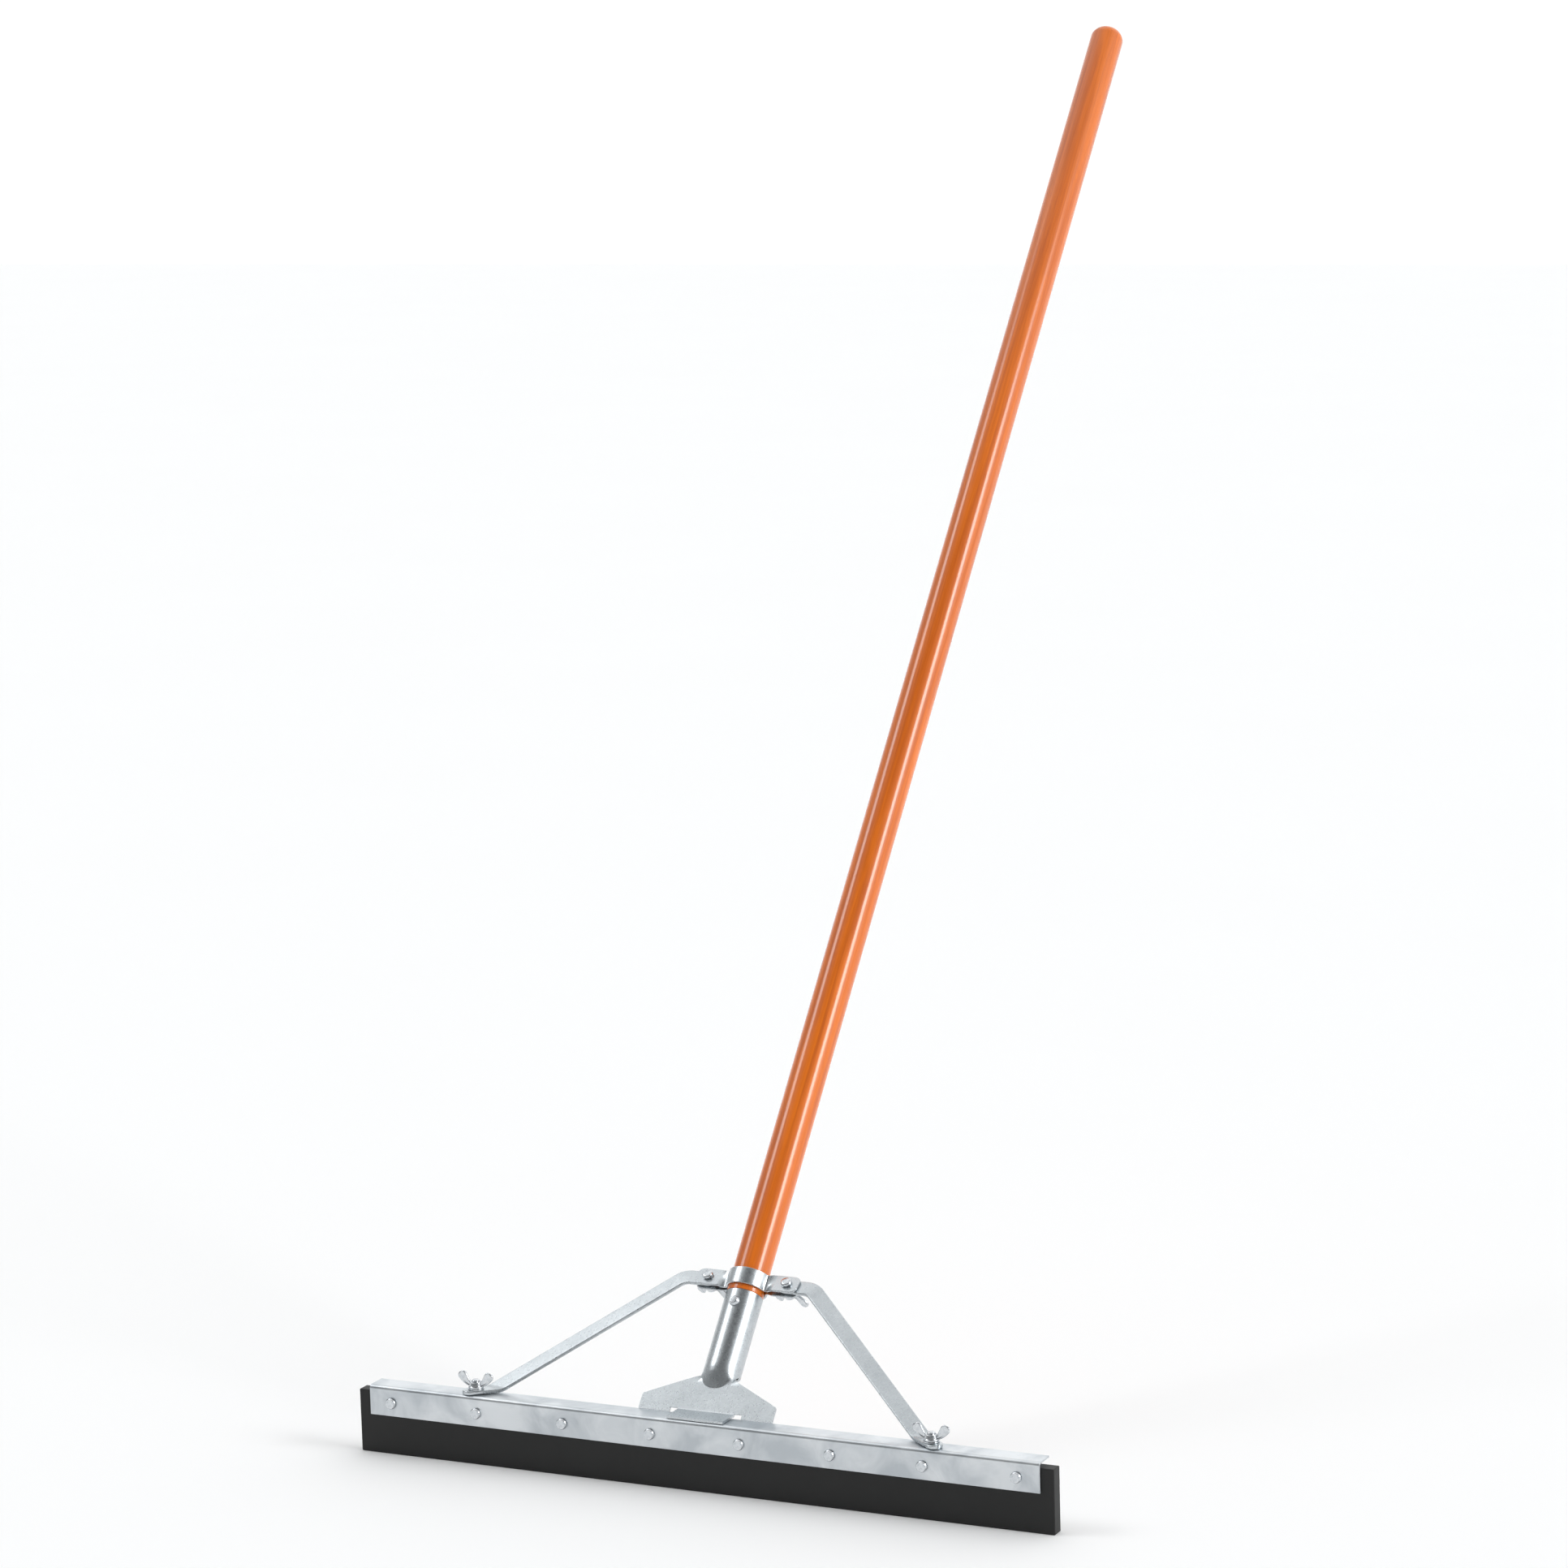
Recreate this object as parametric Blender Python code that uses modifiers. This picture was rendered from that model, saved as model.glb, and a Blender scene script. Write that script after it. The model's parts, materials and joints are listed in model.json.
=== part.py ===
"""Straight floor squeegee with a braced wooden handle.

X runs along the head, +Y points to the back (the side the handle leans to) and +Z is up.
The origin is the middle of the rubber blade's bottom edge.
All sizes are in metres and all angles in degrees.
"""
import math

import bmesh
import bpy
from mathutils import Matrix, Vector

# ---------------------------------------------------------------- fits
GAP = 0.0003             # air left between pieces that touch
HOLE_GAP = 0.0003        # radial air between a shank and its hole

# ---------------------------------------------------------------- head
FRAME_LENGTH = 0.5588    # steel frame, 22 in
BLADE_OVERHANG = 0.0103  # rubber past each end of the frame
BLADE_THICK = 0.0110
BLADE_HEIGHT = 0.0494
BLADE_EDGE_ROUND = 0.0008
SHEET = 0.0016           # frame sheet thickness
BEND_RADIUS = 0.0030     # outside radius of the frame's bend
FRAME_TOP = 0.0542       # height of the frame's top face
FACE_HEIGHT = 0.0235     # front face, top to bottom
FLANGE_DEPTH = 0.0183    # top flange, front to back
BACK_PLATE_HEIGHT = 0.0180

# ---------------------------------------------------------------- rivets
RIVET_COUNT = 8
RIVET_INSET = 0.01865    # end rivets from the frame's ends
RIVET_HEIGHT = 0.0410    # rivet line above the blade's bottom edge
RIVET_HEAD_R = 0.0044
RIVET_FACE_R = 0.0036
RIVET_HEAD_H = 0.0020
RIVET_SHANK_R = 0.0024
RIVET_TAIL_R = 0.0040
RIVET_TAIL_H = 0.0014

# ---------------------------------------------------------------- handle
LEAN = 40.1              # handle's lean back from upright
AXIS_SETBACK = 0.0308    # handle axis behind the frame's face, at the frame's top
HANDLE_R = 0.0143        # 1 1/8 in handle
HANDLE_LENGTH = 1.270    # 50 in
HANDLE_IN_SOCKET = 0.0489  # reduced end below the socket's rim
HANDLE_DOME = 0.0120     # height of the domed top end

# ---------------------------------------------------------------- socket bracket
BRACKET_SHEET = 0.0018
TUBE_PROUD = 0.00015     # socket tube's outside past the handle's
TUBE_TOP = 0.0951        # tube's rim, along the handle axis from the frame's top
NOSE_START = 0.0272      # where the tube closes into the nose
NOSE_LENGTH = 0.0140
TUBE_REAR_LIFT = 0.0015  # the tube's rear rim above the nose's widest ring
PLATE_OFFSET = 0.0090    # plate's front face ahead of the handle axis
PLATE_HALF_WIDTH = 0.0557
PLATE_CORNER_HEIGHT = 0.0134
SHOULDER_HALF_WIDTH = 0.0185
SHOULDER_HEIGHT = 0.0293
TAB_WIDTH = 0.0470
TAB_BEND = 0.0020        # inside radius of the tab's fold
TAB_INSET = 0.0016       # tab's front edge behind the frame's face
RELIEF_WIDTH = 0.0065    # notch at each end of the fold
RELIEF_HEIGHT = 0.0040
SCREW_BELOW_RIM = 0.0105
SCREW_HEAD_R = 0.0043
SCREW_HEAD_H = 0.0026
SCREW_SHANK_R = 0.0022
SCREW_LENGTH = 0.0180

# ---------------------------------------------------------------- handle clamp
CLAMP_SHEET = 0.0018
CLAMP_GAP = 0.0043       # handle left showing between the rim and the clamp
CLAMP_HEIGHT = 0.0133
EAR_HEIGHT = 0.0160
EAR_TILT = 20.0          # ears lean back this much more than the handle
EAR_BOLT_X = 0.0332
EAR_END_X = 0.0432
EAR_BEND = 0.0030        # fillet from the band into the ear, at mid thickness
EAR_TWIST_RUN = 0.0060   # length over which the ear turns back

# ---------------------------------------------------------------- braces
BRACE_WIDTH = 0.0130
BRACE_THICK = 0.0030
BRACE_END = 0.0105       # bolt hole to the foot's rounded end
BRACE_TOP_END = 0.0075   # bolt hole to the upper rounded end
BRACE_BEND = 0.0080      # bend radius at mid thickness
FOOT_BOLT_X = 0.1903
FOOT_BEND_X = 0.1790
FOOT_BEND_BACK = 0.0091  # lower bend behind the foot's bolt
TOP_BEND_X = 0.0540

# ---------------------------------------------------------------- bolts, washers and wing nuts
BOLT_R = 0.00315
BOLT_END_SHOW = 0.0017   # thread showing past the nut
PAN_HEAD_R = 0.0043
PAN_HEAD_H = 0.0030
FLAT_HEAD_R = 0.0070
FLAT_HEAD_H = 0.0022
WASHER_R = 0.0062
WASHER_THICK = 0.0008
NUT_BASE_R = 0.0058
NUT_TOP_R = 0.0048
NUT_HEIGHT = 0.0046
WING_REACH = 0.0142
WING_HEIGHT = 0.0122
WING_THICK = 0.0022
CLAMP_NUT_TURN = 10.0    # clamp wing nuts turned from the line across the head

# ---------------------------------------------------------------- derived positions
BLADE_HALF = FRAME_LENGTH / 2 + BLADE_OVERHANG
FACE_Y = -(BLADE_THICK / 2 + GAP + SHEET)
FLANGE_MID_Y = FACE_Y + FLANGE_DEPTH / 2
AXIS_Y = FACE_Y + AXIS_SETBACK
LEAN_RAD = math.radians(LEAN)
EAR_RAD = math.radians(LEAN + EAR_TILT)
TILT_RAD = math.radians(EAR_TILT)
CLAMP_MID = TUBE_TOP + CLAMP_GAP + CLAMP_HEIGHT / 2
EAR_OFFSET = BRACE_THICK / 2 + GAP + CLAMP_SHEET / 2
HANDLE_TOP = TUBE_TOP + HANDLE_LENGTH - HANDLE_IN_SOCKET
TUBE_R = HANDLE_R + TUBE_PROUD
AXIS_FRAME = Matrix.Translation((0, AXIS_Y, FRAME_TOP)) @ Matrix.Rotation(-LEAN_RAD, 4, "X")
# where the band's arc meets the fillet into the ear, and where the ear then runs flat
BAND_MIDDLE_R = HANDLE_R + GAP + CLAMP_SHEET / 2
FILLET_Y = EAR_OFFSET + EAR_BEND
EAR_START_X = math.sqrt((BAND_MIDDLE_R + EAR_BEND) ** 2 - FILLET_Y ** 2)
EAR_LEAVE = math.atan2(EAR_START_X, FILLET_Y)


def clear_scene():
    """Remove the objects of the starting scene."""
    for obj in list(bpy.data.objects):
        bpy.data.objects.remove(obj, do_unlink=True)


def make_collection(name):
    """Add a collection to the scene and return it."""
    collection = bpy.data.collections.new(name)
    bpy.context.scene.collection.children.link(collection)
    return collection


def make_material(name, colour, roughness, metallic):
    """Return a plain Principled material."""
    material = bpy.data.materials.new(name)
    material.use_nodes = True
    shader = material.node_tree.nodes["Principled BSDF"]
    shader.inputs["Base Color"].default_value = (*colour, 1.0)
    shader.inputs["Roughness"].default_value = roughness
    shader.inputs["Metallic"].default_value = metallic
    material.diffuse_color = (*colour, 1.0)
    return material


def add_object(name, mesh, collection, material=None, smooth=False):
    """Make an object from a mesh, with one material and its shading set."""
    obj = bpy.data.objects.new(name, mesh)
    collection.objects.link(obj)
    if material is not None:
        mesh.materials.clear()
        mesh.materials.append(material)
    for polygon in mesh.polygons:
        polygon.use_smooth = smooth
    return obj


def place(obj, matrix):
    """Put an object at a matrix."""
    obj.matrix_world = matrix
    return obj


def along_axis(x, y, s, turn=(0.0, "X")):
    """Return the matrix of a point x, y, s in the leaning handle's own frame."""
    return AXIS_FRAME @ Matrix.Translation((x, y, s)) @ Matrix.Rotation(turn[0], 4, turn[1])


def ear_matrix(side):
    """Return the frame of one clamp bolt: its +Z runs out of the ears' front faces."""
    centre = AXIS_FRAME @ Vector((side * EAR_BOLT_X, 0, CLAMP_MID))
    return Matrix.Translation(centre) @ Matrix.Rotation(math.pi / 2 - EAR_RAD, 4, "X")


def foot_matrix(side):
    """Return the frame of one foot bolt: its +Z is up, at the frame's top face."""
    return Matrix.Translation((side * FOOT_BOLT_X, FLANGE_MID_Y, FRAME_TOP))


def merged_mesh(parts, name):
    """Return one mesh holding several closed bmesh shapes."""
    mesh = bpy.data.meshes.new(name)
    parts.to_mesh(mesh)
    parts.free()
    return mesh


def box_mesh(name, size, centre):
    """Return a box mesh."""
    shape = bmesh.new()
    matrix = Matrix.Translation(centre) @ Matrix.Diagonal((*size, 1.0))
    bmesh.ops.create_cube(shape, size=1.0, matrix=matrix)
    return merged_mesh(shape, name)


def cone_mesh(name, low_r, high_r, low_z, high_z, segments=32):
    """Return a frustum or cylinder mesh standing on the Z axis."""
    shape = bmesh.new()
    matrix = Matrix.Translation((0, 0, (low_z + high_z) / 2))
    bmesh.ops.create_cone(shape, cap_ends=True, cap_tris=False, segments=segments,
                          radius1=low_r, radius2=high_r, depth=high_z - low_z, matrix=matrix)
    return merged_mesh(shape, name)


def turned_object(name, profile, collection, material, segments=32):
    """Return a turned piece: the profile runs down its outer side, from the top of the axis."""
    mesh = bpy.data.meshes.new(name)
    points = [(radius, 0.0, height) for radius, height in profile]
    edges = [(i, i + 1) for i in range(len(points) - 1)]
    mesh.from_pydata(points, edges, [])
    obj = add_object(name, mesh, collection, material)
    screw = obj.modifiers.new("turn", "SCREW")
    screw.axis = "Z"
    screw.steps = segments
    screw.render_steps = segments
    screw.use_merge_vertices = True
    screw.merge_threshold = 0.00001
    screw.use_smooth_shade = True
    return obj


def rounded_outline(corners):
    """Return outline points; each corner is x, y, fillet radius and number of arc steps."""
    points = []
    count = len(corners)
    for i in range(count):
        x, y, radius, steps = corners[i]
        here = Vector((x, y))
        if radius <= 0:
            points.append((x, y))
            continue
        before = (Vector(corners[i - 1][:2]) - here).normalized()
        after = (Vector(corners[(i + 1) % count][:2]) - here).normalized()
        half = math.acos(max(-1.0, min(1.0, before.dot(after)))) / 2
        cut = radius / math.tan(half)
        centre = here + (before + after).normalized() * radius / math.sin(half)
        start = here + before * cut - centre
        end = here + after * cut - centre
        sweep = start.angle_signed(end)
        for step in range(steps + 1):
            angle = -sweep * step / steps
            turned = Matrix.Rotation(angle, 2) @ start
            points.append(tuple(centre + turned))
    return points


def outline_object(name, points, thickness, collection, material=None):
    """Return a flat outline in its local XY plane, given thickness along local Z."""
    curve = bpy.data.curves.new(name, "CURVE")
    curve.dimensions = "2D"
    curve.fill_mode = "BOTH"
    curve.extrude = thickness / 2
    spline = curve.splines.new("POLY")
    spline.points.add(len(points) - 1)
    for point, (x, y) in zip(spline.points, points):
        point.co = (x, y, 0.0, 1.0)
    spline.use_cyclic_u = True
    holder = bpy.data.objects.new(name + " outline", curve)
    collection.objects.link(holder)
    bpy.context.view_layer.update()
    evaluated = holder.evaluated_get(bpy.context.evaluated_depsgraph_get())
    mesh = bpy.data.meshes.new_from_object(evaluated)
    bpy.data.objects.remove(holder)
    bpy.data.curves.remove(curve)
    shape = bmesh.new()
    shape.from_mesh(mesh)
    bmesh.ops.remove_doubles(shape, verts=shape.verts, dist=0.000001)
    bmesh.ops.recalc_face_normals(shape, faces=shape.faces)
    shape.to_mesh(mesh)
    shape.free()
    mesh.name = name
    return add_object(name, mesh, collection, material)


def strip_outline(path, thickness):
    """Return the outline of a bent strip seen edge on, from its middle line."""
    left = []
    right = []
    for i, point in enumerate(path):
        before = Vector(path[max(i - 1, 0)])
        after = Vector(path[min(i + 1, len(path) - 1)])
        along = (after - before).normalized()
        side = Vector((-along.y, along.x)) * thickness / 2
        left.append(tuple(Vector(point) + side))
        right.append(tuple(Vector(point) - side))
    return left + right[::-1]


def bent_path(start, corner, end, radius, steps=8):
    """Return a middle line from start to end with an arc at its corner."""
    corner = Vector(corner)
    into = (Vector(start) - corner).normalized()
    out = (Vector(end) - corner).normalized()
    half = into.angle(out) / 2
    cut = radius / math.tan(half)
    centre = corner + (into + out).normalized() * radius / math.sin(half)
    first = corner + into * cut - centre
    last = corner + out * cut - centre
    sweep = first.angle(last)
    points = [tuple(start)]
    for step in range(steps + 1):
        part = step / steps
        blend = (first * math.sin((1 - part) * sweep) + last * math.sin(part * sweep))
        points.append(tuple(centre + blend / math.sin(sweep)))
    points.append(tuple(end))
    return points


def loft_object(name, stations, chamfer, collection, material):
    """Return a flat bar lofted through its stations.

    Each station is its centre, the width direction, the thickness direction, the half width
    and the half thickness. The corners are chamfered.
    """
    shape = bmesh.new()
    rings = []
    for centre, wide, thick, half_w, half_t in stations:
        cut = min(chamfer, half_w * 0.45, half_t * 0.45)
        flat = [(half_w, half_t - cut), (half_w - cut, half_t), (cut - half_w, half_t),
                (-half_w, half_t - cut), (-half_w, cut - half_t), (cut - half_w, -half_t),
                (half_w - cut, -half_t), (half_w, cut - half_t)]
        rings.append([shape.verts.new(centre + wide * a + thick * b) for a, b in flat])
    for low, high in zip(rings, rings[1:]):
        for i in range(8):
            j = (i + 1) % 8
            shape.faces.new((low[i], low[j], high[j], high[i]))
    shape.faces.new(rings[0][::-1])
    shape.faces.new(rings[-1])
    bmesh.ops.triangulate(shape, faces=shape.faces)
    if shape.calc_volume(signed=True) < 0:
        bmesh.ops.reverse_faces(shape, faces=shape.faces)
    mesh = bpy.data.meshes.new(name)
    shape.to_mesh(mesh)
    shape.free()
    return add_object(name, mesh, collection, material)


def cutter(name, mesh, matrix=None):
    """Return a hidden cutting body."""
    obj = add_object(name, mesh, CUTTERS)
    obj.hide_render = True
    obj.display_type = "WIRE"
    if matrix is not None:
        obj.matrix_world = matrix
    return obj


def combine(obj, other, operation):
    """Add an exact Boolean to an object."""
    modifier = obj.modifiers.new(other.name, "BOOLEAN")
    modifier.operation = operation
    modifier.solver = "EXACT"
    modifier.object = other


def add_bevel(obj, width, segments=2, angle=40.0):
    """Round an object's sharp edges."""
    bevel = obj.modifiers.new("edge round", "BEVEL")
    bevel.width = width
    bevel.segments = segments
    bevel.limit_method = "ANGLE"
    bevel.angle_limit = math.radians(angle)


def rivet_places():
    """Return the X positions of the rivets."""
    first = RIVET_INSET - FRAME_LENGTH / 2
    pitch = -2 * first / (RIVET_COUNT - 1)
    return [first + i * pitch for i in range(RIVET_COUNT)]


def cut_rivet_holes(obj, name):
    """Cut the row of rivet holes through a piece, front to back."""
    for i, x in enumerate(rivet_places()):
        mesh = cone_mesh(f"{name}_hole", RIVET_SHANK_R + HOLE_GAP, RIVET_SHANK_R + HOLE_GAP,
                         -0.03, 0.03, 24)
        matrix = Matrix.Translation((x, 0, RIVET_HEIGHT)) @ Matrix.Rotation(math.pi / 2, 4, "X")
        combine(obj, cutter(f"{name}_hole_{i + 1}", mesh, matrix), "DIFFERENCE")


def make_frame_front():
    """Front face and top flange, bent from one strip, with rivet and bolt holes."""
    low = (FACE_Y + SHEET / 2, FRAME_TOP - FACE_HEIGHT)
    corner = (FACE_Y + SHEET / 2, FRAME_TOP - SHEET / 2)
    back = (FACE_Y + FLANGE_DEPTH, FRAME_TOP - SHEET / 2)
    path = bent_path(low, corner, back, BEND_RADIUS - SHEET / 2)
    obj = outline_object("frame_front", strip_outline(path, SHEET), FRAME_LENGTH, PIECES, STEEL)
    # local X, Y of the outline become Y, Z of the object; its thickness runs along X
    turn = Matrix(((0, 0, 1, 0), (1, 0, 0, 0), (0, 1, 0, 0), (0, 0, 0, 1)))
    obj.data.transform(turn)
    cut_rivet_holes(obj, "frame_front")
    for side, word in ((-1, "left"), (1, "right")):
        mesh = cone_mesh("flange_hole", BOLT_R + HOLE_GAP, BOLT_R + HOLE_GAP, -0.01, 0.01, 24)
        combine(obj, cutter(f"flange_hole_{word}", mesh, foot_matrix(side)), "DIFFERENCE")
    return obj


def make_blade():
    """Solid rubber blade, proud of the frame at both ends and below."""
    size = (2 * BLADE_HALF, BLADE_THICK, BLADE_HEIGHT)
    obj = add_object("rubber_blade", box_mesh("rubber_blade", size, (0, 0, BLADE_HEIGHT / 2)),
                     PIECES, RUBBER)
    add_bevel(obj, BLADE_EDGE_ROUND)
    cut_rivet_holes(obj, "blade")
    return obj


def make_back_plate():
    """Flat strip that backs the rubber."""
    y = BLADE_THICK / 2 + GAP + SHEET / 2
    low = FRAME_TOP - FACE_HEIGHT
    size = (FRAME_LENGTH, SHEET, BACK_PLATE_HEIGHT)
    mesh = box_mesh("frame_back", size, (0, y, low + BACK_PLATE_HEIGHT / 2))
    obj = add_object("frame_back", mesh, PIECES, STEEL_BACK)
    cut_rivet_holes(obj, "back")
    return obj


def make_rivets():
    """Flat-headed rivets through face, rubber and back plate."""
    depth = BLADE_THICK + 2 * (GAP + SHEET)
    head = GAP
    profile = [(0.0, head + RIVET_HEAD_H), (RIVET_FACE_R - 0.0004, head + RIVET_HEAD_H),
               (RIVET_FACE_R, head + RIVET_HEAD_H - 0.0003), (RIVET_HEAD_R, head + 0.0006),
               (RIVET_HEAD_R, head), (RIVET_SHANK_R, head), (RIVET_SHANK_R, -depth - GAP),
               (RIVET_TAIL_R, -depth - GAP), (RIVET_TAIL_R - 0.0006, -depth - GAP - RIVET_TAIL_H),
               (0.0, -depth - GAP - RIVET_TAIL_H)]
    for i, x in enumerate(rivet_places()):
        obj = turned_object(f"rivet_{i + 1}", profile, PIECES, RIVET_STEEL, 24)
        matrix = Matrix.Translation((x, FACE_Y, RIVET_HEIGHT))
        place(obj, matrix @ Matrix.Rotation(math.pi / 2, 4, "X"))


def plate_outline():
    """Return the bracket plate's outline, in the plane of X and the handle axis."""
    low = (-PLATE_OFFSET * math.sin(LEAN_RAD) - 0.0001) / math.cos(LEAN_RAD)
    top = low + PLATE_CORNER_HEIGHT
    shoulder = low + SHOULDER_HEIGHT
    fold = low + RELIEF_HEIGHT
    inner = TAB_WIDTH / 2
    outer = inner + RELIEF_WIDTH
    half = [(inner, fold + 0.0015, 0, 0), (inner + 0.0002, fold, 0.0014, 4),
            (outer, fold, 0.0020, 4), (outer, low, 0.0006, 2),
            (PLATE_HALF_WIDTH + 0.0003, low, 0.0010, 3), (PLATE_HALF_WIDTH, top, 0.0030, 5),
            (SHOULDER_HALF_WIDTH, shoulder, 0.0050, 5),
            (TUBE_R * 0.85, shoulder + 0.0090, 0, 0), (TUBE_R * 0.6, shoulder + 0.0120, 0, 0)]
    mirrored = [(-x, y, radius, steps) for x, y, radius, steps in reversed(half)]
    return rounded_outline(half + mirrored), low


def tube_cutter(name, radius, nose_length, top):
    """Return a round body along the handle axis that closes in a blunt nose."""
    profile = [(0.0, top), (radius, top)]
    for step in range(9):
        angle = math.pi / 2 * step / 8
        profile.append((radius * math.cos(angle), NOSE_START - nose_length * math.sin(angle)))
    profile[-1] = (0.0, NOSE_START - nose_length)
    obj = turned_object(name, profile, CUTTERS, None, 48)
    obj.hide_render = True
    obj.display_type = "WIRE"
    obj.matrix_world = AXIS_FRAME
    return obj


def make_bracket():
    """Pressed socket bracket: plate, folded tab, nose and tube in one piece of sheet."""
    outline, low = plate_outline()
    plate = outline_object("socket_bracket", outline, BRACKET_SHEET, PIECES, BRACKET_STEEL)
    middle = PLATE_OFFSET - BRACKET_SHEET / 2
    # outline X stays X, outline Y becomes the handle axis, thickness runs front to back
    turn = Matrix(((1, 0, 0, 0), (0, 0, -1, -middle), (0, 1, 0, 0), (0, 0, 0, 1)))
    plate.data.transform(turn)
    plate.matrix_world = AXIS_FRAME

    tab_z = FRAME_TOP + GAP + BRACKET_SHEET / 2
    fold_s = (tab_z - FRAME_TOP - middle * math.sin(LEAN_RAD)) / math.cos(LEAN_RAD)
    fold_y = AXIS_Y - middle * math.cos(LEAN_RAD) + fold_s * math.sin(LEAN_RAD)
    up = 0.0080
    start = (fold_y + up * math.sin(LEAN_RAD), tab_z + up * math.cos(LEAN_RAD))
    path = bent_path(start, (fold_y, tab_z), (FACE_Y + TAB_INSET, tab_z),
                     TAB_BEND + BRACKET_SHEET / 2)
    tab = outline_object("tab", strip_outline(path, BRACKET_SHEET), TAB_WIDTH, CUTTERS)
    tab.data.transform(Matrix(((0, 0, 1, 0), (1, 0, 0, 0), (0, 1, 0, 0), (0, 0, 0, 1))))
    tab.hide_render = True
    tab.display_type = "WIRE"
    combine(plate, tab, "UNION")

    outside = tube_cutter("tube_outside", TUBE_R, NOSE_LENGTH, TUBE_TOP)
    back_size = (0.06, 0.04, 0.04)
    back_centre = (0, 0.02 - PLATE_OFFSET + BRACKET_SHEET + 0.0002,
                   NOSE_START + TUBE_REAR_LIFT - 0.02)
    nose_back = cutter("nose_back", box_mesh("nose_back", back_size, back_centre), AXIS_FRAME)
    combine(outside, nose_back, "DIFFERENCE")
    combine(plate, outside, "UNION")
    inside = tube_cutter("tube_inside", TUBE_R - BRACKET_SHEET, NOSE_LENGTH - BRACKET_SHEET,
                         TUBE_TOP + 0.01)
    inside.matrix_world = AXIS_FRAME @ Matrix.Rotation(math.radians(3.0), 4, "Z")
    combine(plate, inside, "DIFFERENCE")
    hole = cone_mesh("socket_hole", SCREW_SHANK_R + HOLE_GAP, SCREW_SHANK_R + HOLE_GAP,
                     TUBE_R - 0.006, TUBE_R + 0.004, 24)
    matrix = along_axis(0, 0, TUBE_TOP - SCREW_BELOW_RIM, (math.pi / 2, "X"))
    combine(plate, cutter("socket_hole", hole, matrix), "DIFFERENCE")
    return plate


def make_handle():
    """Turned handle: domed top, plain shaft and a reduced end inside the socket."""
    tenon_r = TUBE_R - BRACKET_SHEET - GAP
    bottom = HANDLE_TOP - HANDLE_LENGTH
    shoulder = TUBE_TOP + GAP
    profile = []
    for step in range(9):
        angle = math.pi / 2 * step / 8
        profile.append((HANDLE_R * math.sin(angle),
                        HANDLE_TOP - HANDLE_DOME * (1 - math.cos(angle))))
    profile += [(HANDLE_R, shoulder + 0.0004), (HANDLE_R - 0.0004, shoulder), (tenon_r, shoulder),
                (tenon_r, bottom + 0.0010), (tenon_r - 0.0010, bottom), (0.0, bottom)]
    obj = turned_object("handle", profile, PIECES, WOOD, 48)
    obj.matrix_world = AXIS_FRAME
    depth = SCREW_LENGTH + GAP
    hole = cone_mesh("pilot_hole", SCREW_SHANK_R + HOLE_GAP, SCREW_SHANK_R + HOLE_GAP,
                     TUBE_R - depth, TUBE_R + 0.004, 24)
    matrix = along_axis(0, 0, TUBE_TOP - SCREW_BELOW_RIM, (math.pi / 2, "X"))
    combine(obj, cutter("pilot_hole", hole, matrix), "DIFFERENCE")
    return obj


def head_profile(radius, height, low):
    """Return the profile points of a low domed head, top first."""
    points = [(0.0, low + height)]
    for step in range(1, 6):
        angle = math.radians(24 + 66 * step / 5)
        points.append((radius * math.sin(angle),
                       low + 0.0007 + (height - 0.0007) * math.cos(angle) / math.cos(0.4189)))
    points.append((radius, low))
    return points


def make_socket_screw():
    """Domed screw that holds the handle in the socket."""
    low = TUBE_R + 0.0001
    profile = head_profile(SCREW_HEAD_R, SCREW_HEAD_H, low)
    profile += [(SCREW_SHANK_R, low), (SCREW_SHANK_R, TUBE_R - SCREW_LENGTH + 0.002),
                (0.0005, TUBE_R - SCREW_LENGTH), (0.0, TUBE_R - SCREW_LENGTH)]
    obj = turned_object("socket_screw", profile, PIECES, SCREW_STEEL, 24)
    matrix = along_axis(0, 0, TUBE_TOP - SCREW_BELOW_RIM, (math.pi / 2, "X"))
    place(obj, matrix)
    # the head rests on the tube's crown, so its underside is hollowed to the tube's curve
    mesh = cone_mesh("crown", TUBE_R + GAP, TUBE_R + GAP, -0.02, 0.02, 96)
    crown = cutter("crown", mesh, along_axis(0, 0, TUBE_TOP - SCREW_BELOW_RIM))
    mesh = cone_mesh("crown_core", SCREW_SHANK_R, SCREW_SHANK_R, -0.01, TUBE_R + 0.0012, 24)
    core = cutter("crown_core", mesh, matrix)
    combine(crown, core, "DIFFERENCE")
    combine(obj, crown, "DIFFERENCE")
    return obj


def twist_at(x):
    """Return how far the ear has turned back from the handle's plane at a given X."""
    part = (abs(x) - EAR_START_X) / EAR_TWIST_RUN
    part = max(0.0, min(1.0, part))
    return TILT_RAD * part * part * (3 - 2 * part)


def ear_half_height(x):
    """Return the ear's half height at a given X, with its rounded end."""
    part = max(0.0, min(1.0, (abs(x) - EAR_START_X) / EAR_TWIST_RUN))
    half = CLAMP_HEIGHT / 2 + (EAR_HEIGHT - CLAMP_HEIGHT) / 2 * part
    past = abs(x) - (EAR_END_X - half)
    if past > 0:
        half = math.sqrt(max(half * half - past * past, 0.0))
    return half


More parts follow.
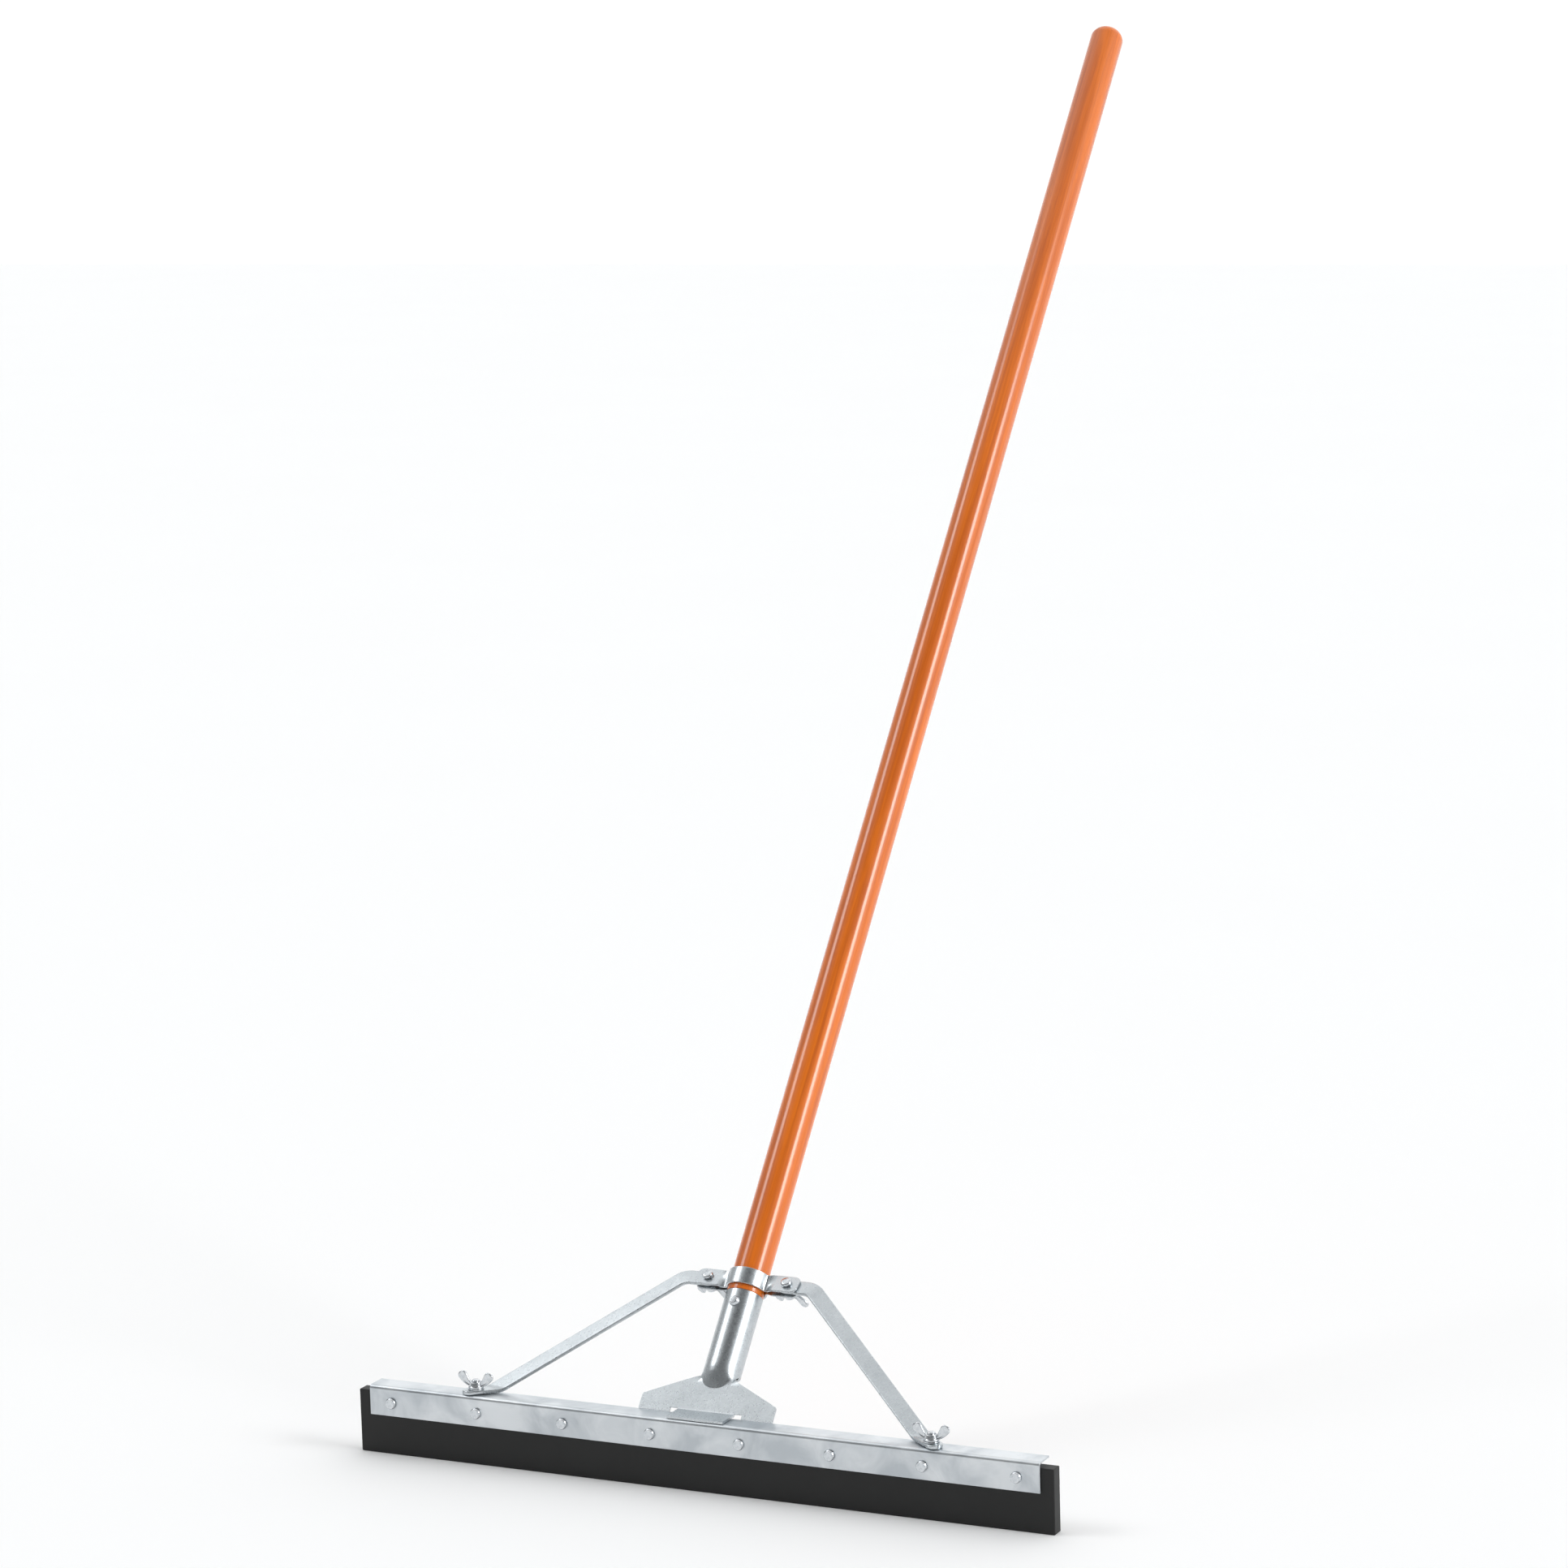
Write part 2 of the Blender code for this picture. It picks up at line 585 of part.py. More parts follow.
def clamp_stations(facing):
    """Return the loft stations of one clamp half; facing is -1 for the front half."""
    stations = []

    def station(x, y, normal_angle, half):
        turn = twist_at(x)
        wide = Vector((0, math.sin(turn), math.cos(turn)))
        out = Vector((math.sin(normal_angle), facing * math.cos(normal_angle), 0))
        centre = Vector((x, y * math.cos(turn), CLAMP_MID - y * math.sin(turn)))
        thick = Vector((out.x, out.y * math.cos(turn), -out.y * math.sin(turn)))
        stations.append((centre, wide, thick.normalized(), half, CLAMP_SHEET / 2))

    ear_y = facing * EAR_OFFSET
    xs = []
    half = EAR_HEIGHT / 2
    for step in range(1, 7):
        xs.append(EAR_END_X - half * (1 - math.cos(math.pi / 2 * step / 6)))
    xs += [EAR_START_X + EAR_TWIST_RUN * part for part in (1.0, 0.75, 0.5, 0.25)]
    for x in xs:
        station(x, ear_y, 0.0, ear_half_height(x))
    for step in range(6):
        angle = EAR_LEAVE * step / 5
        x = EAR_START_X - EAR_BEND * math.sin(angle)
        y = facing * (EAR_OFFSET + EAR_BEND * (1 - math.cos(angle)))
        station(x, y, angle, CLAMP_HEIGHT / 2)
    arc = []
    for step in range(1, 25):
        angle = EAR_LEAVE - 2 * EAR_LEAVE * step / 24
        across = BAND_MIDDLE_R * math.sin(angle)
        arc.append((across, facing * BAND_MIDDLE_R * math.cos(angle), angle))
    for x, y, angle in arc[:-1]:
        station(x, y, angle, CLAMP_HEIGHT / 2)
    right = len(xs) + 6
    for centre, wide, thick, half_w, half_t in stations[:right][::-1]:
        flip = Vector((-1, 1, 1))
        stations.append((centre * flip, wide * flip, thick * flip, half_w, half_t))
    return stations


def make_clamp(name, facing, material):
    """One half of the handle clamp: a band with an ear at each side."""
    obj = loft_object(name, clamp_stations(facing), 0.0003, PIECES, material)
    obj.matrix_world = AXIS_FRAME
    for side, word in ((-1, "left"), (1, "right")):
        mesh = cone_mesh("ear_hole", BOLT_R + HOLE_GAP, BOLT_R + HOLE_GAP, -0.01, 0.01, 24)
        combine(obj, cutter(f"{name}_hole_{word}", mesh, ear_matrix(side)), "DIFFERENCE")
    return obj


def fold_stations(corner, into, out, low_normal, high_normal, radius, half_w, steps=8):
    """Return a flat bar's stations round a fold between two flat runs.

    The fold line lies where the planes of the two runs meet, so it may cross the bar at a
    slant. Each station is its centre, the fold line, its thickness direction and half width.
    """
    line = low_normal.cross(high_normal).normalized()
    if line.dot(low_normal.cross(into)) < 0:
        line = -line
    across_in = into - line * into.dot(line)
    across_out = out - line * out.dot(line)
    sweep = low_normal.angle(high_normal)
    reach = radius * math.tan(sweep / 2)
    start = corner - into * reach / across_in.length
    end = corner + out * reach / across_out.length
    drift = (end - start).dot(line)
    ahead = across_in.normalized()
    rise = 1.0 if across_out.dot(low_normal) > 0 else -1.0
    half = half_w / across_in.length
    stations = []
    for step in range(steps + 1):
        angle = sweep * step / steps
        point = start + ahead * radius * math.sin(angle) + line * drift * step / steps
        point += low_normal * rise * radius * (1 - math.cos(angle))
        normal = low_normal * math.cos(angle) - ahead * rise * math.sin(angle)
        stations.append((point, line, normal, half))
    return stations


def brace_stations(side):
    """Return the loft stations of one brace, from its foot to its upper end."""
    foot_z = FRAME_TOP + GAP + BRACE_THICK / 2
    bolt = Vector((FOOT_BOLT_X, FLANGE_MID_Y, foot_z))
    low = Vector((FOOT_BEND_X, FLANGE_MID_Y + FOOT_BEND_BACK, foot_z))
    ear = AXIS_FRAME @ Vector((0, 0, CLAMP_MID))
    high = Vector((TOP_BEND_X, ear.y, ear.z))
    top = Vector((EAR_BOLT_X - BRACE_TOP_END, ear.y, ear.z))
    foot_dir = (low - bolt).normalized()
    run_dir = (high - low).normalized()
    top_dir = Vector((-1, 0, 0))
    foot_normal = Vector((0, 0, 1))
    ear_normal = Vector((0, -math.cos(EAR_RAD), math.sin(EAR_RAD)))
    run_normal = (ear_normal - run_dir * ear_normal.dot(run_dir)).normalized()
    half_w = BRACE_WIDTH / 2
    path = []

    def flat(point, direction, normal, half):
        path.append((point, normal.cross(direction).normalized(), normal, half))

    foot_end = bolt - foot_dir * BRACE_END
    for step in range(1, 7):
        angle = math.pi / 2 * step / 6
        along = half_w * (1 - math.cos(angle))
        flat(foot_end + foot_dir * along, foot_dir, foot_normal, half_w * math.sin(angle))
    path += fold_stations(low, foot_dir, run_dir, foot_normal, run_normal, BRACE_BEND, half_w)
    path += fold_stations(high, run_dir, top_dir, run_normal, ear_normal, BRACE_BEND, half_w)
    for step in range(6):
        angle = math.pi / 2 * step / 6
        back = half_w * (1 - math.sin(angle))
        flat(top - top_dir * back, top_dir, ear_normal, half_w * math.cos(angle))
    stations = []
    flip = Vector((side, 1, 1))
    for point, wide, normal, half in path:
        stations.append((point * flip, wide * flip, normal * flip, half, BRACE_THICK / 2))
    return stations


def make_brace(name, side):
    """Flat steel brace from the frame's top to the clamp's ears."""
    obj = loft_object(name, brace_stations(side), 0.0007, PIECES, BRACE_STEEL)
    for place_name, matrix in (("foot", foot_matrix(side)), ("ear", ear_matrix(side))):
        mesh = cone_mesh("brace_hole", BOLT_R + HOLE_GAP, BOLT_R + HOLE_GAP, -0.012, 0.012, 24)
        combine(obj, cutter(f"{name}_{place_name}_hole", mesh, matrix), "DIFFERENCE")
    return obj


def nut_stack():
    """Return the washer's and the nut's distances past the clamped pieces."""
    washer = GAP
    nut = washer + WASHER_THICK + GAP
    end = nut + NUT_HEIGHT + BOLT_END_SHOW
    return washer, nut, end


def make_bolt(name, matrix, head_r, head_h, grip, domed):
    """Bolt whose head is at the top of its frame and whose shank runs down past the nut."""
    end = nut_stack()[2]
    if domed:
        profile = head_profile(head_r, head_h, GAP)
    else:
        profile = [(0.0, GAP + head_h), (head_r * 0.55, GAP + head_h * 0.92),
                   (head_r * 0.9, GAP + head_h * 0.55), (head_r, GAP + head_h * 0.2),
                   (head_r, GAP)]
    profile += [(BOLT_R, GAP), (BOLT_R, -grip - end + 0.0008), (BOLT_R * 0.72, -grip - end),
                (0.0, -grip - end)]
    obj = turned_object(name, profile, PIECES, BOLT_STEEL, 24)
    return place(obj, matrix)


def make_washer(name, matrix):
    """Plain washer, its lower face on its frame's origin."""
    inner = BOLT_R + HOLE_GAP
    mesh = cone_mesh(name, WASHER_R, WASHER_R, 0.0, WASHER_THICK, 32)
    obj = add_object(name, mesh, PIECES, WASHER_STEEL)
    place(obj, matrix)
    bore = cutter(name + "_bore", cone_mesh("bore", inner, inner, -0.002, 0.004, 24), matrix)
    combine(obj, bore, "DIFFERENCE")
    return obj


def make_wing_nut(name, matrix):
    """Wing nut: tapered boss with two paddle wings, base on its frame's origin."""
    obj = add_object(name, cone_mesh(name, NUT_BASE_R, NUT_TOP_R, 0.0, NUT_HEIGHT, 32), PIECES,
                     NUT_STEEL)
    place(obj, matrix)
    reach = WING_REACH
    high = WING_HEIGHT
    corners = [(0.0042, 0.0004, 0, 0), (0.0060, 0.0004, 0.0012, 3), (reach, high * 0.62, 0.0016, 4),
               (reach * 0.90, high, 0.0018, 4), (reach * 0.60, high * 0.97, 0.0022, 4),
               (0.0050, high * 0.36, 0.0016, 3), (0.0042, high * 0.34, 0, 0)]
    for side, word in ((-1, "a"), (1, "b")):
        wing = outline_object(f"{name}_wing_{word}", rounded_outline(corners), WING_THICK, CUTTERS)
        wing.data.transform(Matrix(((1, 0, 0, 0), (0, 0, -1, 0), (0, 1, 0, 0), (0, 0, 0, 1))))
        wing.hide_render = True
        wing.display_type = "WIRE"
        if side < 0:
            wing.data.transform(Matrix.Rotation(math.pi, 4, "Z"))
        wing.matrix_world = matrix
        combine(obj, wing, "UNION")
    inner = BOLT_R + HOLE_GAP
    bore = cutter(name + "_bore", cone_mesh("bore", inner, inner, -0.003, 0.012, 24), matrix)
    combine(obj, bore, "DIFFERENCE")
    return obj


def make_fasteners():
    """The four bolts with their washers and wing nuts."""
    washer_at, nut_at, end = nut_stack()
    upper_grip = BRACE_THICK + 2 * GAP + 2 * CLAMP_SHEET
    lower_grip = SHEET + GAP + BRACE_THICK
    over = Matrix.Rotation(math.pi, 4, "X")
    for side, word in ((-1, "left"), (1, "right")):
        ear = ear_matrix(side)
        front = ear @ Matrix.Translation((0, 0, upper_grip / 2))
        make_bolt(f"clamp_bolt_{word}", front, PAN_HEAD_R, PAN_HEAD_H, upper_grip, True)
        behind = ear @ Matrix.Translation((0, 0, -upper_grip / 2)) @ over
        make_washer(f"clamp_washer_{word}", behind @ Matrix.Translation((0, 0, washer_at)))
        spin = Matrix.Rotation(math.radians(CLAMP_NUT_TURN), 4, "Z")
        make_wing_nut(f"clamp_wing_nut_{word}", behind @ Matrix.Translation((0, 0, nut_at)) @ spin)
        foot = foot_matrix(side)
        under = foot @ Matrix.Translation((0, 0, -SHEET)) @ over
        make_bolt(f"foot_bolt_{word}", under, FLAT_HEAD_R, FLAT_HEAD_H, lower_grip, False)
        above = foot @ Matrix.Translation((0, 0, GAP + BRACE_THICK))
        make_washer(f"foot_washer_{word}", above @ Matrix.Translation((0, 0, washer_at)))
        make_wing_nut(f"foot_wing_nut_{word}", above @ Matrix.Translation((0, 0, nut_at)))


clear_scene()
PIECES = make_collection("floor_squeegee")
CUTTERS = make_collection("cutters")
STEEL = make_material("zinc_plated_frame", (0.62, 0.64, 0.66), 0.35, 1.0)
STEEL_BACK = make_material("zinc_plated_back_strip", (0.60, 0.62, 0.64), 0.38, 1.0)
RUBBER = make_material("black_rubber", (0.012, 0.012, 0.013), 0.55, 0.0)
RIVET_STEEL = make_material("zinc_plated_rivet", (0.60, 0.62, 0.63), 0.30, 1.0)
BRACKET_STEEL = make_material("galvanised_bracket", (0.55, 0.57, 0.59), 0.38, 1.0)
WOOD = make_material("lacquered_wood", (0.55, 0.16, 0.035), 0.18, 0.0)
SCREW_STEEL = make_material("zinc_plated_screw", (0.62, 0.63, 0.65), 0.28, 1.0)
CLAMP_STEEL = make_material("galvanised_clamp_front", (0.60, 0.62, 0.64), 0.34, 1.0)
CLAMP_BACK_STEEL = make_material("galvanised_clamp_back", (0.58, 0.60, 0.62), 0.36, 1.0)
BRACE_STEEL = make_material("zinc_plated_brace", (0.62, 0.64, 0.66), 0.32, 1.0)
BOLT_STEEL = make_material("zinc_plated_bolt", (0.58, 0.59, 0.61), 0.28, 1.0)
WASHER_STEEL = make_material("zinc_plated_washer", (0.56, 0.57, 0.59), 0.30, 1.0)
NUT_STEEL = make_material("zinc_plated_wing_nut", (0.60, 0.61, 0.63), 0.28, 1.0)

make_frame_front()
make_blade()
make_back_plate()
make_rivets()
make_bracket()
make_handle()
make_socket_screw()
make_clamp("clamp_front", -1, CLAMP_STEEL)
make_clamp("clamp_back", 1, CLAMP_BACK_STEEL)
make_brace("brace_left", -1)
make_brace("brace_right", 1)
make_fasteners()
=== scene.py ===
"""Looks of a straight floor squeegee with a braced wooden handle, made around its CAD frame.

X runs along the head, +Y points to the back and +Z is up. The origin is the middle of the
rubber blade's bottom edge. All lengths are in metres.
"""
import json
import math
from functools import partial

import bmesh
import bpy
from bpy.props import FloatProperty, FloatVectorProperty, IntProperty, PointerProperty
from mathutils import Euler, Matrix, Vector


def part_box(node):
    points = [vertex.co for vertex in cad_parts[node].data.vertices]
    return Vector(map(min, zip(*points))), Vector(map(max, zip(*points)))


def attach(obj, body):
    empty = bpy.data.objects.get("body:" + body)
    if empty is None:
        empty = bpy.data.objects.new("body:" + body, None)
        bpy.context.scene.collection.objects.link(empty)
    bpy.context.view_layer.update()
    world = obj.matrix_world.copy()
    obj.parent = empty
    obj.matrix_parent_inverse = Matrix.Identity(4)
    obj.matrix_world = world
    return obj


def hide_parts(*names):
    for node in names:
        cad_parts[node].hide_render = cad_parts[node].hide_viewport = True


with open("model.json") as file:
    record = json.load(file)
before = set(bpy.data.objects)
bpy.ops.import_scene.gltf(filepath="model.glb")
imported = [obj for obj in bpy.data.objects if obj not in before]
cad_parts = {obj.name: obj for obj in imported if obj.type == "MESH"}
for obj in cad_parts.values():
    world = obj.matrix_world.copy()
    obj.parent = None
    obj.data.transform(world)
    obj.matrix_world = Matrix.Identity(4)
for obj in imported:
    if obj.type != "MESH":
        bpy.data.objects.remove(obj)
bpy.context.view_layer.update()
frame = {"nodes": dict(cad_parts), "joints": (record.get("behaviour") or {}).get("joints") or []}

bl_info = {
    "name": "Floor Squeegee",
    "version": (1, 0, 0),
    "blender": (4, 5, 0),
    "location": "3D View > Sidebar > Squeegee",
    "description": "Builds the visible pieces and finishes of a braced floor squeegee",
    "category": "Object",
}

MM = 0.001
SIDES = ((-1, "left"), (1, "right"))
GAP = 0.3 * MM           # air between pieces that touch
EAR_TILT = math.radians(20.0)   # the clamp's ears lean back this much more than the handle
HEAD_BODY = "squeegee"
FASTENING_STEPS = 48     # facets round rivets, screws, bolts, washers and nuts
TO_FRONT = Matrix.Rotation(math.pi / 2, 4, "X")     # turns +Z to face the front


# ---------------- places read from the frame
def bolt_place(which, word):
    """Return a point on a bolt's axis, at its wing nut's base, and the way the nut comes off."""
    joints = {joint["name"]: joint for joint in frame["joints"]}
    joint = joints[f"{which}_nut_{word}_turn"]
    return Vector(joint["pos_m"]), Vector(joint["axis"]).normalized()


def bolt_matrix(which, word):
    """Return the frame of a wing nut: origin at its base, +Z the way it comes off."""
    point, axis = bolt_place(which, word)
    across = Vector((1.0, 0.0, 0.0))
    matrix = Matrix((across, axis.cross(across), axis)).transposed().to_4x4()
    return Matrix.Translation(point) @ matrix


FACE_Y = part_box("frame_front")[0].y
FRAME_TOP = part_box("frame_front")[1].z
FACE_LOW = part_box("frame_front")[0].z
FLANGE_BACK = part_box("frame_front")[1].y
FRAME_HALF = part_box("frame_front")[1].x
SHEET = 1.6 * MM
BRACE_THICK = 3.0 * MM
PRESSING = 1.8 * MM      # sheet of the bracket and the clamp
WASHER_THICK = 0.8 * MM
NUT_STANDOFF = 2 * GAP + WASHER_THICK    # washer and air beneath a wing nut
CLAMP_GRIP = BRACE_THICK + 2 * GAP + 2 * PRESSING
EAR_POINT, NUT_AXIS = bolt_place("clamp", "right")
EAR_MIDDLE = EAR_POINT - NUT_AXIS * (CLAMP_GRIP / 2 + NUT_STANDOFF)
EAR_BOLT_X = EAR_MIDDLE.x
EAR_LEAN = math.atan2(-NUT_AXIS.z, NUT_AXIS.y)
LEAN = EAR_LEAN - EAR_TILT
UP_HANDLE = Vector((0.0, math.sin(LEAN), math.cos(LEAN)))
CLAMP_MID = (EAR_MIDDLE.z - FRAME_TOP) / math.cos(LEAN)
AXIS_Y = EAR_MIDDLE.y - CLAMP_MID * math.sin(LEAN)
AXIS_FRAME = Matrix.Translation((0.0, AXIS_Y, FRAME_TOP)) @ Matrix.Rotation(-LEAN, 4, "X")


# ---------------- colours
def hex_rgb(code):
    """Return linear red, green and blue of an sRGB hex colour."""
    values = [int(code[i:i + 2], 16) / 255 for i in (0, 2, 4)]
    return tuple(c / 12.92 if c <= 0.04045 else ((c + 0.055) / 1.055) ** 2.4 for c in values)


def colour_property(name, description, code):
    """Return a colour setting with a hex default."""
    return FloatVectorProperty(name=name, description=description, subtype="COLOR", size=3,
                               min=0.0, max=1.0, default=hex_rgb(code))


class SQUEEGEE_PG_colours(bpy.types.PropertyGroup):
    """Colours of the finishes."""

    zinc: colour_property("Zinc", "Zinc plating of the frame", "DCE0E3")
    zinc_cloud: colour_property("Zinc cloud", "Duller clouds in the frame's plating", "BDC3C8")
    spangle: colour_property("Spangle", "Galvanised bracket, clamp and braces", "D3D8DB")
    spangle_dark: colour_property("Dark spangle", "Darker crystals of the galvanising", "B0B6BA")
    bright_zinc: colour_property("Bright zinc", "Bolts, washers, screw and wing nuts", "DADDE0")
    rubber: colour_property("Rubber", "Solid black rubber", "0D0D0D")
    wood: colour_property("Wood", "Stained wood under the lacquer", "EA7719")
    wood_dark: colour_property("Wood grain", "Darker grain of the stained wood", "C65B12")
    floor: colour_property("Floor", "Studio floor and backdrop", "FCFCFC")


class SQUEEGEE_PG_sizes(bpy.types.PropertyGroup):
    """Sizes of the visible pieces."""

    handle_radius: FloatProperty(name="Handle radius", description="Radius of the wooden handle",
                                 default=14.3 * MM, min=0.005, unit="LENGTH")
    handle_length: FloatProperty(name="Handle length", description="Handle, end to end",
                                 default=1.270, min=0.2, unit="LENGTH")
    handle_dome: FloatProperty(name="Handle dome", description="Height of the domed top end",
                               default=12.0 * MM, min=0.001, unit="LENGTH")
    tube_radius: FloatProperty(name="Socket radius", description="Outside radius of the socket",
                               default=14.45 * MM, min=0.005, unit="LENGTH")
    tube_rim: FloatProperty(name="Socket rim", description="Rim above the frame, up the handle",
                            default=95.1 * MM, min=0.03, unit="LENGTH")
    sheet_round: FloatProperty(name="Sheet edge round", description="Rounding of cut sheet edges",
                               default=0.35 * MM, min=0.0, unit="LENGTH")
    rubber_round: FloatProperty(name="Rubber edge round", description="Rounding of rubber edges",
                                default=0.8 * MM, min=0.0, unit="LENGTH")
    turned_steps: IntProperty(name="Steps round", description="Facets round turned pieces",
                              default=96, min=16, max=256)


def settings():
    """Return the sizes and colours."""
    scene = bpy.context.scene
    return scene.squeegee_sizes, scene.squeegee_colours


# ---------------- node materials
def add_node(tree, kind, output, *inputs, stops=(), **named):
    """Add a node and return one of its outputs.

    Inputs are linked or filled in order or by name. A name in small letters is one of the
    node's own settings, and stops are the places and colours of a colour ramp.
    """
    node = tree.nodes.new("ShaderNode" + kind)
    fills = dict(enumerate(inputs))
    for key, value in named.items():
        if key.islower():
            setattr(node, key, value)
        else:
            fills[key.replace("_", " ")] = value
    for key, value in fills.items():
        if isinstance(value, bpy.types.NodeSocket):
            tree.links.new(value, node.inputs[key])
        else:
            node.inputs[key].default_value = value
    for index, (position, colour) in enumerate(stops):
        elements = node.color_ramp.elements
        element = elements[index] if index < len(elements) else elements.new(position)
        element.position = position
        element.color = (*colour, 1.0)
    return node.outputs[output] if output else None


def new_material(name, **sockets):
    """Return a material with its shader's sockets filled, its node adder and coordinates."""
    material = bpy.data.materials.new(name)
    material.use_nodes = True
    for key, value in sockets.items():
        shader = material.node_tree.nodes["Principled BSDF"]
        shader.inputs[key.replace("_", " ")].default_value = value
    add = partial(add_node, material.node_tree)
    return material, add, add("TexCoord", "Object")


def dress(material, colour, roughness, normal):
    """Link what nodes make to a material's shader, and return the material."""
    tree = material.node_tree
    shader = tree.nodes["Principled BSDF"]
    for key, socket in (("Base Color", colour), ("Roughness", roughness), ("Normal", normal)):
        tree.links.new(socket, shader.inputs[key])
    return material


def zinc_plated_sheet():
    """Zinc-plated cold-rolled steel: satin, with soft duller clouds 20 to 40 mm across."""
    colours = settings()[1]
    material, add, place = new_material("zinc_plated_sheet", Metallic=1.0)
    cloud = add("TexNoise", "Fac", place, Scale=1 / (30 * MM), Detail=4.0, Roughness=0.55,
                Distortion=0.6)
    base = add("ValToRGB", "Color", cloud,
               stops=((0.34, colours.zinc_cloud), (0.66, colours.zinc)))
    smear = add("TexNoise", "Fac", place, Scale=1 / (12 * MM), Detail=3.0, Roughness=0.6)
    gloss = add("MapRange", "Result", smear, To_Min=0.26, To_Max=0.44)
    rolled = add("TexNoise", "Fac", place, Scale=1 / (40 * MM))
    wave = add("Bump", "Normal", Height=rolled, Strength=0.25, Distance=0.6 * MM)
    # the rolled skin is finer than this on real sheet, and is drawn at 0.7 mm to show
    skin = add("TexNoise", "Fac", place, Scale=1 / (0.7 * MM))
    normal = add("Bump", "Normal", Height=skin, Strength=0.05, Distance=0.05 * MM, Normal=wave)
    return dress(material, base, gloss, normal)


def galvanised_steel(name, cell, contrast):
    """Hot-dip galvanised steel: small crystals that differ a little in tone and gloss."""
    colours = settings()[1]
    material, add, place = new_material(name, Metallic=1.0)
    crystal = add("TexVoronoi", "Color", place, Scale=1 / cell)
    grey = add("RGBToBW", "Val", crystal)
    tone = add("MapRange", "Result", grey, To_Min=0.5 - contrast, To_Max=0.5 + contrast)
    cloud = add("TexNoise", "Fac", place, Scale=1 / (18 * MM), Detail=3.0)
    patch = add("MapRange", "Result", cloud, To_Min=-0.22, To_Max=0.22)
    mixed = add("Math", "Value", tone, patch, operation="ADD")
    base = add("ValToRGB", "Color", mixed,
               stops=((0.18, colours.spangle_dark), (0.80, colours.spangle)))
    gloss = add("MapRange", "Result", grey, To_Min=0.26, To_Max=0.32)
    # the dipped skin's grain is about 0.2 mm, and is drawn at 0.55 mm to show
    grain = add("TexNoise", "Fac", place, Scale=1 / (0.55 * MM), Detail=1.0)
    rough = add("Bump", "Normal", Height=grain, Strength=0.22, Distance=0.05 * MM)
    runs = add("TexNoise", "Fac", place, Scale=1 / (6 * MM), Detail=1.0)
    normal = add("Bump", "Normal", Height=runs, Strength=0.15, Distance=0.12 * MM, Normal=rough)
    return dress(material, base, gloss, normal)


def bright_zinc():
    """Bright zinc plating on forged and turned fastenings: glossy, with faint handling marks."""
    colours = settings()[1]
    material, add, place = new_material("bright_zinc_plating", Metallic=1.0)
    wear = add("TexNoise", "Fac", place, Scale=1 / (2.5 * MM), Detail=4.0, Roughness=0.6)
    base = add("ValToRGB", "Color", wear,
               stops=((0.30, colours.zinc_cloud), (0.62, colours.bright_zinc)))
    gloss = add("MapRange", "Result", wear, To_Min=0.12, To_Max=0.30)
    dents = add("TexNoise", "Fac", place, Scale=1 / (1.2 * MM))
    normal = add("Bump", "Normal", Height=dents, Strength=0.10, Distance=0.08 * MM)
    return dress(material, base, gloss, normal)


def black_rubber():
    """Cut sheet of solid black rubber: nearly matt, with faint saw marks and a little bloom."""
    colours = settings()[1]
    material, add, place = new_material("solid_black_rubber", IOR=1.52, Specular_IOR_Level=0.46)
    bloom = add("TexNoise", "Fac", place, Scale=1 / (35 * MM), Detail=4.0, Roughness=0.6)
    bloomed = tuple(2.2 * c + 0.002 for c in colours.rubber)
    base = add("ValToRGB", "Color", bloom, stops=((0.40, colours.rubber), (0.85, bloomed)))
    gloss = add("MapRange", "Result", bloom, To_Min=0.48, To_Max=0.62)
    along = add("Mapping", "Vector", place, Scale=(0.15, 1.0, 1.0))
    # the saw marks are about 0.3 mm apart, and are drawn at 0.8 mm to show
    marks = add("TexNoise", "Fac", along, Scale=1 / (0.8 * MM), Detail=3.0)
    normal = add("Bump", "Normal", Height=marks, Strength=0.10, Distance=0.06 * MM)
    return dress(material, base, gloss, normal)


def lacquered_wood():
    """Stained hardwood, turned, under a thick gloss lacquer that makes sharp reflections."""
    colours = settings()[1]
    material, add, place = new_material("gloss_lacquered_hardwood", Specular_IOR_Level=0.12,
                                        Coat_Weight=1.0, Coat_Roughness=0.05, Coat_IOR=1.5)
    growth = add("Mapping", "Vector", place, Scale=(1.0, 1.0, 0.035))
    figure = add("TexNoise", "Fac", growth, Scale=1 / (7 * MM), Detail=4.0, Roughness=0.6,
                 Distortion=0.8)
    # the pores are about 0.3 mm across, and are drawn at 1.4 mm to show
    vessels = add("Mapping", "Vector", place, Scale=(1.0, 1.0, 0.02))
    pores = add("TexNoise", "Fac", vessels, Scale=1 / (1.4 * MM), Detail=3.0, Roughness=0.6)
    streak = add("MapRange", "Result", pores, To_Min=-0.16, To_Max=0.16)
    mixed = add("Math", "Value", figure, streak, operation="ADD")
    base = add("ValToRGB", "Color", mixed,
               stops=((0.24, colours.wood_dark), (0.62, colours.wood)))
    gloss = add("MapRange", "Result", pores, To_Min=0.36, To_Max=0.5)
    normal = add("Bump", "Normal", Height=pores, Strength=0.06, Distance=0.05 * MM)
    return dress(material, base, gloss, normal)


FINISHES = {}


def finish_named(name):
    """Return one of the shared finishes, made when it is first asked for."""
    if name not in FINISHES:
        makers = {
            "frame": zinc_plated_sheet,
            "bracket": lambda: galvanised_steel("galvanised_pressed_sheet", 1.1 * MM, 0.10),
            "bar": lambda: galvanised_steel("galvanised_flat_bar", 1.4 * MM, 0.12),
            "fastening": bright_zinc,
            "rubber": black_rubber,
            "wood": lacquered_wood,
        }
        FINISHES[name] = makers[name]()
    return FINISHES[name]


